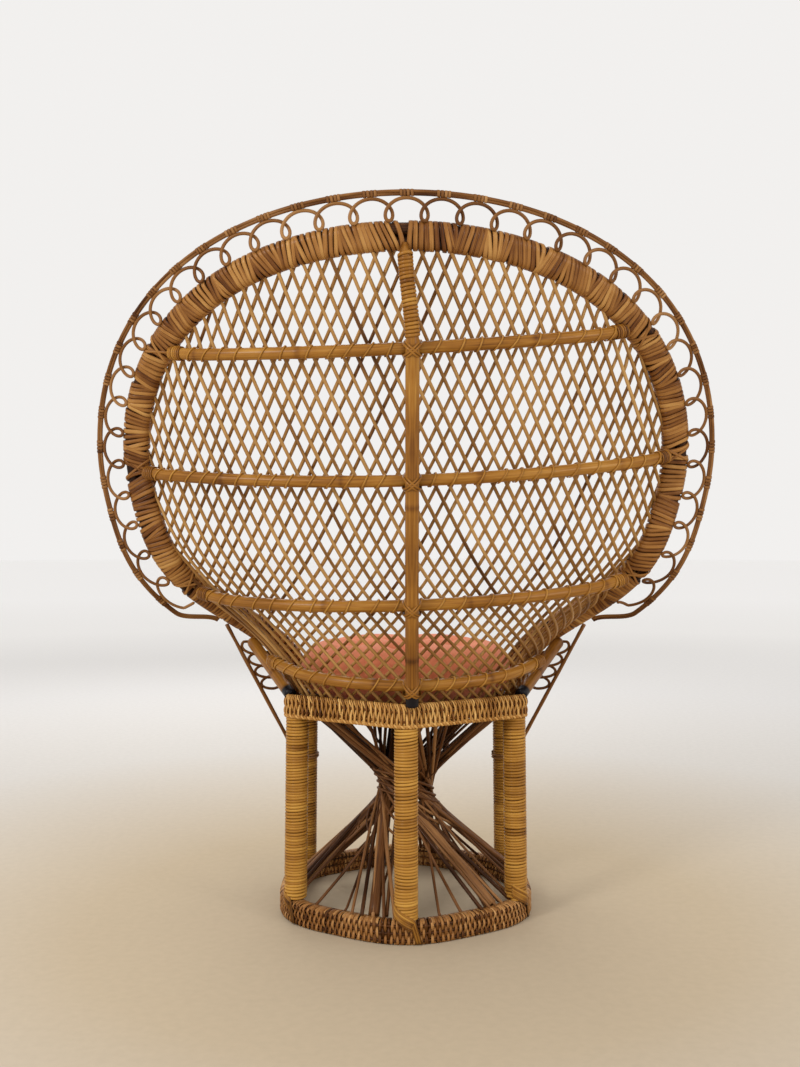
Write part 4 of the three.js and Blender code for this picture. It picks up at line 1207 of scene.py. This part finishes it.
# Sewn folds from tuft to tuft and from the outer tufts to the edge
FOLD_DEPTH = 7
FOLD_SPREAD = 8
# Levels between which tufts and folds fade in, before and after the cover fills out
TUFT_LEVELS = (45, 75)
FOLD_LEVELS = (35, 75)
FILL_PRESSURE = 4
FILL_FRAMES = 20
FILL_CAP = 9
CUSHION_VOXEL = 5
CUSHION_CENTRE = np.array([0, CUSHION_CENTRE_Y, DECK_TOP + 1.0])
# Radius and level of the cover before it fills out, as shares of the cushion's
CUSHION_PROFILE = np.array([
    (0.0, 0.0), (0.3, 0.0), (0.62, 0.0), (0.86, 0.02), (0.94, 0.14), (0.985, 0.32), (0.98, 0.52),
    (0.955, 0.68), (0.89, 0.81), (0.77, 0.90), (0.57, 0.95), (0.3, 0.97), (0.0, 0.97),
])
CLOTH_COLORS = [(0.25, (0.58, 0.155, 0.07)), (0.5, (0.77, 0.25, 0.125)), (0.78, (0.87, 0.335, 0.19))]


def cloth_material():
    look = Look("coral_cloth")
    place = look.place()
    threads = look.noise(place, 900, 2)
    faded = look.calc("MULTIPLY_ADD", look.noise(place, 14, 4), 0.5, 0.25)
    level = look.calc("ADD", look.swing(threads, 0.35), faded)
    return look.shaded({
        "Base Color": look.ramp(level, CLOTH_COLORS),
        "Roughness": 0.85, "Specular IOR Level": 0.15, "Sheen Weight": 0.08, "Sheen Roughness": 0.5,
        "Normal": look.bump(threads, 0.4, 0.0005),
    })


tuft_ring = TUFT_CIRCLE * outward(full_turn(TUFT_COUNT))[:, :2]
tufts = np.vstack([tuft_ring, np.zeros(2)])


def away_from_tufts(spots):
    """Distance of points, seen from above, from the nearest tuft."""
    return np.linalg.norm(spots[:, None] - tufts, axis=2).min(1)


def away_from_folds(spots):
    """Distance of points, seen from above, from the nearest sewn fold."""
    starts = np.vstack([tuft_ring] * 3)
    middle, edge = np.zeros_like(tuft_ring), tuft_ring * CUSHION_RADIUS / TUFT_CIRCLE
    flow = np.vstack([np.roll(tuft_ring, -1, 0), middle, edge]) - starts
    share = ((spots[:, None] - starts) * flow).sum(2) / (flow * flow).sum(1)
    nearest = starts + np.clip(share, 0, 1)[..., None] * flow
    return np.linalg.norm(spots[:, None] - nearest, axis=2).min(1)


def mesh_points(mesh):
    points = np.empty(len(mesh.vertices) * 3)
    mesh.vertices.foreach_get("co", points)
    return points.reshape(-1, 3)


def cushion_points(piece):
    """Points of the cushion's mesh, from the middle of its underside."""
    return (mesh_points(piece.data) - AXIS) / MM - CUSHION_CENTRE


def applied(piece, kind, **settings):
    """Puts a modifier on a piece and keeps its result as the piece's mesh."""
    modifier = piece.modifiers.new(kind, kind)
    for key, value in settings.items():
        setattr(modifier, key, value)
    shaped = piece.evaluated_get(bpy.context.evaluated_depsgraph_get())
    mesh = bpy.data.meshes.new_from_object(shaped)
    piece.modifiers.remove(modifier)
    piece.data = mesh


def fill_out(piece, held):
    """Short cloth simulation that swells a cover between the places where it is held."""
    group = piece.vertex_groups.new(name="held")
    group.add([int(i) for i in np.flatnonzero(held)], 1.0, "REPLACE")
    cloth = piece.modifiers.new("filling", "CLOTH")
    cloth.settings.vertex_group_mass = "held"
    cloth.settings.use_pressure = True
    cloth.settings.uniform_pressure_force = FILL_PRESSURE
    cloth.settings.effector_weights.gravity = 0
    cloth.point_cache.frame_end = FILL_FRAMES
    scene = bpy.context.scene
    first = scene.frame_current
    for frame_number in range(1, FILL_FRAMES + 1):
        scene.frame_set(frame_number)
    start = mesh_points(piece.data)
    shaped = piece.evaluated_get(bpy.context.evaluated_depsgraph_get())
    moved = mesh_points(shaped.data) - start
    piece.modifiers.remove(cloth)
    scene.frame_set(first)
    far = np.linalg.norm(moved, axis=1, keepdims=True)
    moved = moved * np.minimum(1, FILL_CAP * MM / np.maximum(far, MM * MM))
    piece.data.vertices.foreach_set("co", (start + moved).ravel())


def build_cushion():
    knots = np.arange(len(CUSHION_PROFILE))
    profile = rows_at(np.linspace(0.4, knots[-1] - 0.4, 90), knots, CUSHION_PROFILE)
    wide, high = (profile * (CUSHION_RADIUS, CUSHION_HEIGHT)).T[:, :, None]
    cover = Strands().skin(CUSHION_CENTRE + on_circle(wide, full_turn(140), high), 0.5)
    piece = cover.to_object("seat_cushion", cloth_material())
    applied(piece, "REMESH", mode="VOXEL", voxel_size=CUSHION_VOXEL * MM)
    local = cushion_points(piece)
    away = away_from_tufts(local[:, :2])
    above = smoothstep(local[:, 2], *TUFT_LEVELS)
    points = mesh_points(piece.data)
    points[:, 2] -= TUFT_DEPTH * np.exp(-(away / TUFT_SPREAD) ** 2) * above * MM
    piece.data.vertices.foreach_set("co", points.ravel())
    sewn = (away < 2 * CUSHION_VOXEL) & (above > 0.5)
    fill_out(piece, sewn | (local[:, 2] < CUSHION_VOXEL))
    applied(piece, "SUBSURF", levels=1)
    local = cushion_points(piece)
    above = smoothstep(local[:, 2], *FOLD_LEVELS)
    local[:, 2] -= above * PINCH_DEPTH * np.exp(-away_from_tufts(local[:, :2]) / PINCH_SPREAD)
    local[:, 2] -= above * FOLD_DEPTH * np.exp(-away_from_folds(local[:, :2]) / FOLD_SPREAD)
    radius = np.hypot(local[:, 0], local[:, 1])
    local[:, :2] *= np.minimum(1, (CUSHION_RADIUS - 1) / np.maximum(radius, 1))[:, None]
    local[:, 2] = np.clip(local[:, 2], 0, CUSHION_HEIGHT + 2)
    piece.data.vertices.foreach_set("co", ((local + CUSHION_CENTRE) * MM + AXIS).ravel())
    piece.data.update()
    piece.data.shade_smooth()
    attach(piece, "loose_cushion")
    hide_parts("cushion")


build_cushion()


# Floor, light and camera

FLOOR_RADIUS = 30.0
FLOOR_SIDES = 120
# Colour of the floor by distance from the chair in metres, with painted light: paler further out, where the
# lamps' light falls off, so that it meets the pale surround far away
FLOOR_REACH = 12.0
FLOOR_FALLOFF_COLORS = [
    (0.6, (0.53, 0.43, 0.30)), (1.7, (0.64, 0.61, 0.57)), (3.2, (0.74, 0.725, 0.71)),
    (6.5, (0.93, 0.92, 0.905)), (11.0, (0.99, 0.985, 0.98)),
]
GRAIN_COLORS = [(0.3, (0.95, 0.95, 0.95)), (0.7, (1.0, 1.0, 1.0))]
SURROUND = (0.90, 0.885, 0.87, 1)
SURROUND_STRENGTH = 0.985
# Name, place, size and power of each lamp, and where they aim
LAMPS = [
    ("key", (2.4, 2.8, 2.3), 0.9, 54),
    ("fill", (-2.6, 2.4, 1.5), 1.2, 24),
    ("front", (0.6, -2.8, 2.6), 2.4, 34),
]
LAMP_AIM = Vector((0, 0, 0.7))
CAMERA_AT = (0.011, 2.252, 0.734)
FOCAL_PIXELS = 1120
IMAGE_HEIGHT = 1067
SENSOR = 36


def floor_material():
    look = Look("pale_floor")
    place = look.place()
    grain = look.ramp(look.noise(place, 60, 6), GRAIN_COLORS)
    away = look.node("VectorMath", "Value", {0: place}, operation="LENGTH")
    share = look.calc("DIVIDE", away, FLOOR_REACH)
    # Painted light: the floor grows paler with distance, against the lamps' falloff
    colors = look.ramp(share, [(distance / FLOOR_REACH, color) for distance, color in FLOOR_FALLOFF_COLORS])
    color = look.mix("MULTIPLY", 1.0, colors, grain)
    return look.shaded({"Base Color": color, "Roughness": 0.9, "Specular IOR Level": 0.1})


def build_stage():
    mesh = bpy.data.meshes.new("floor")
    edge = on_circle(FLOOR_RADIUS, np.linspace(TURN, 0, FLOOR_SIDES, endpoint=False), 0.0)
    mesh.from_pydata(edge.tolist(), [], [list(range(FLOOR_SIDES))])
    mesh.materials.append(floor_material())
    placed("floor", mesh)
    scene = bpy.context.scene
    scene.world = bpy.data.worlds.new("pale_room")
    scene.world.use_nodes = True
    background = scene.world.node_tree.nodes["Background"].inputs
    background["Color"].default_value = SURROUND
    background["Strength"].default_value = SURROUND_STRENGTH
    scene.view_settings.view_transform = "Standard"
    for name, place, size, power in LAMPS:
        light = bpy.data.lights.new(name, "AREA")
        light.size = size
        light.energy = power
        lamp = placed(name, light)
        lamp.location = place
        lamp.rotation_euler = (LAMP_AIM - Vector(place)).to_track_quat("-Z", "Y").to_euler()
    camera = bpy.data.cameras.new("camera")
    camera.sensor_width = SENSOR
    camera.lens = FOCAL_PIXELS * SENSOR / IMAGE_HEIGHT
    scene.camera = placed("camera", camera)
    scene.camera.location = (CAMERA_AT[0], CAMERA_AT[1] + AXIS[1], CAMERA_AT[2])
    scene.camera.rotation_euler = (math.pi / 2, 0, math.pi)


build_stage()
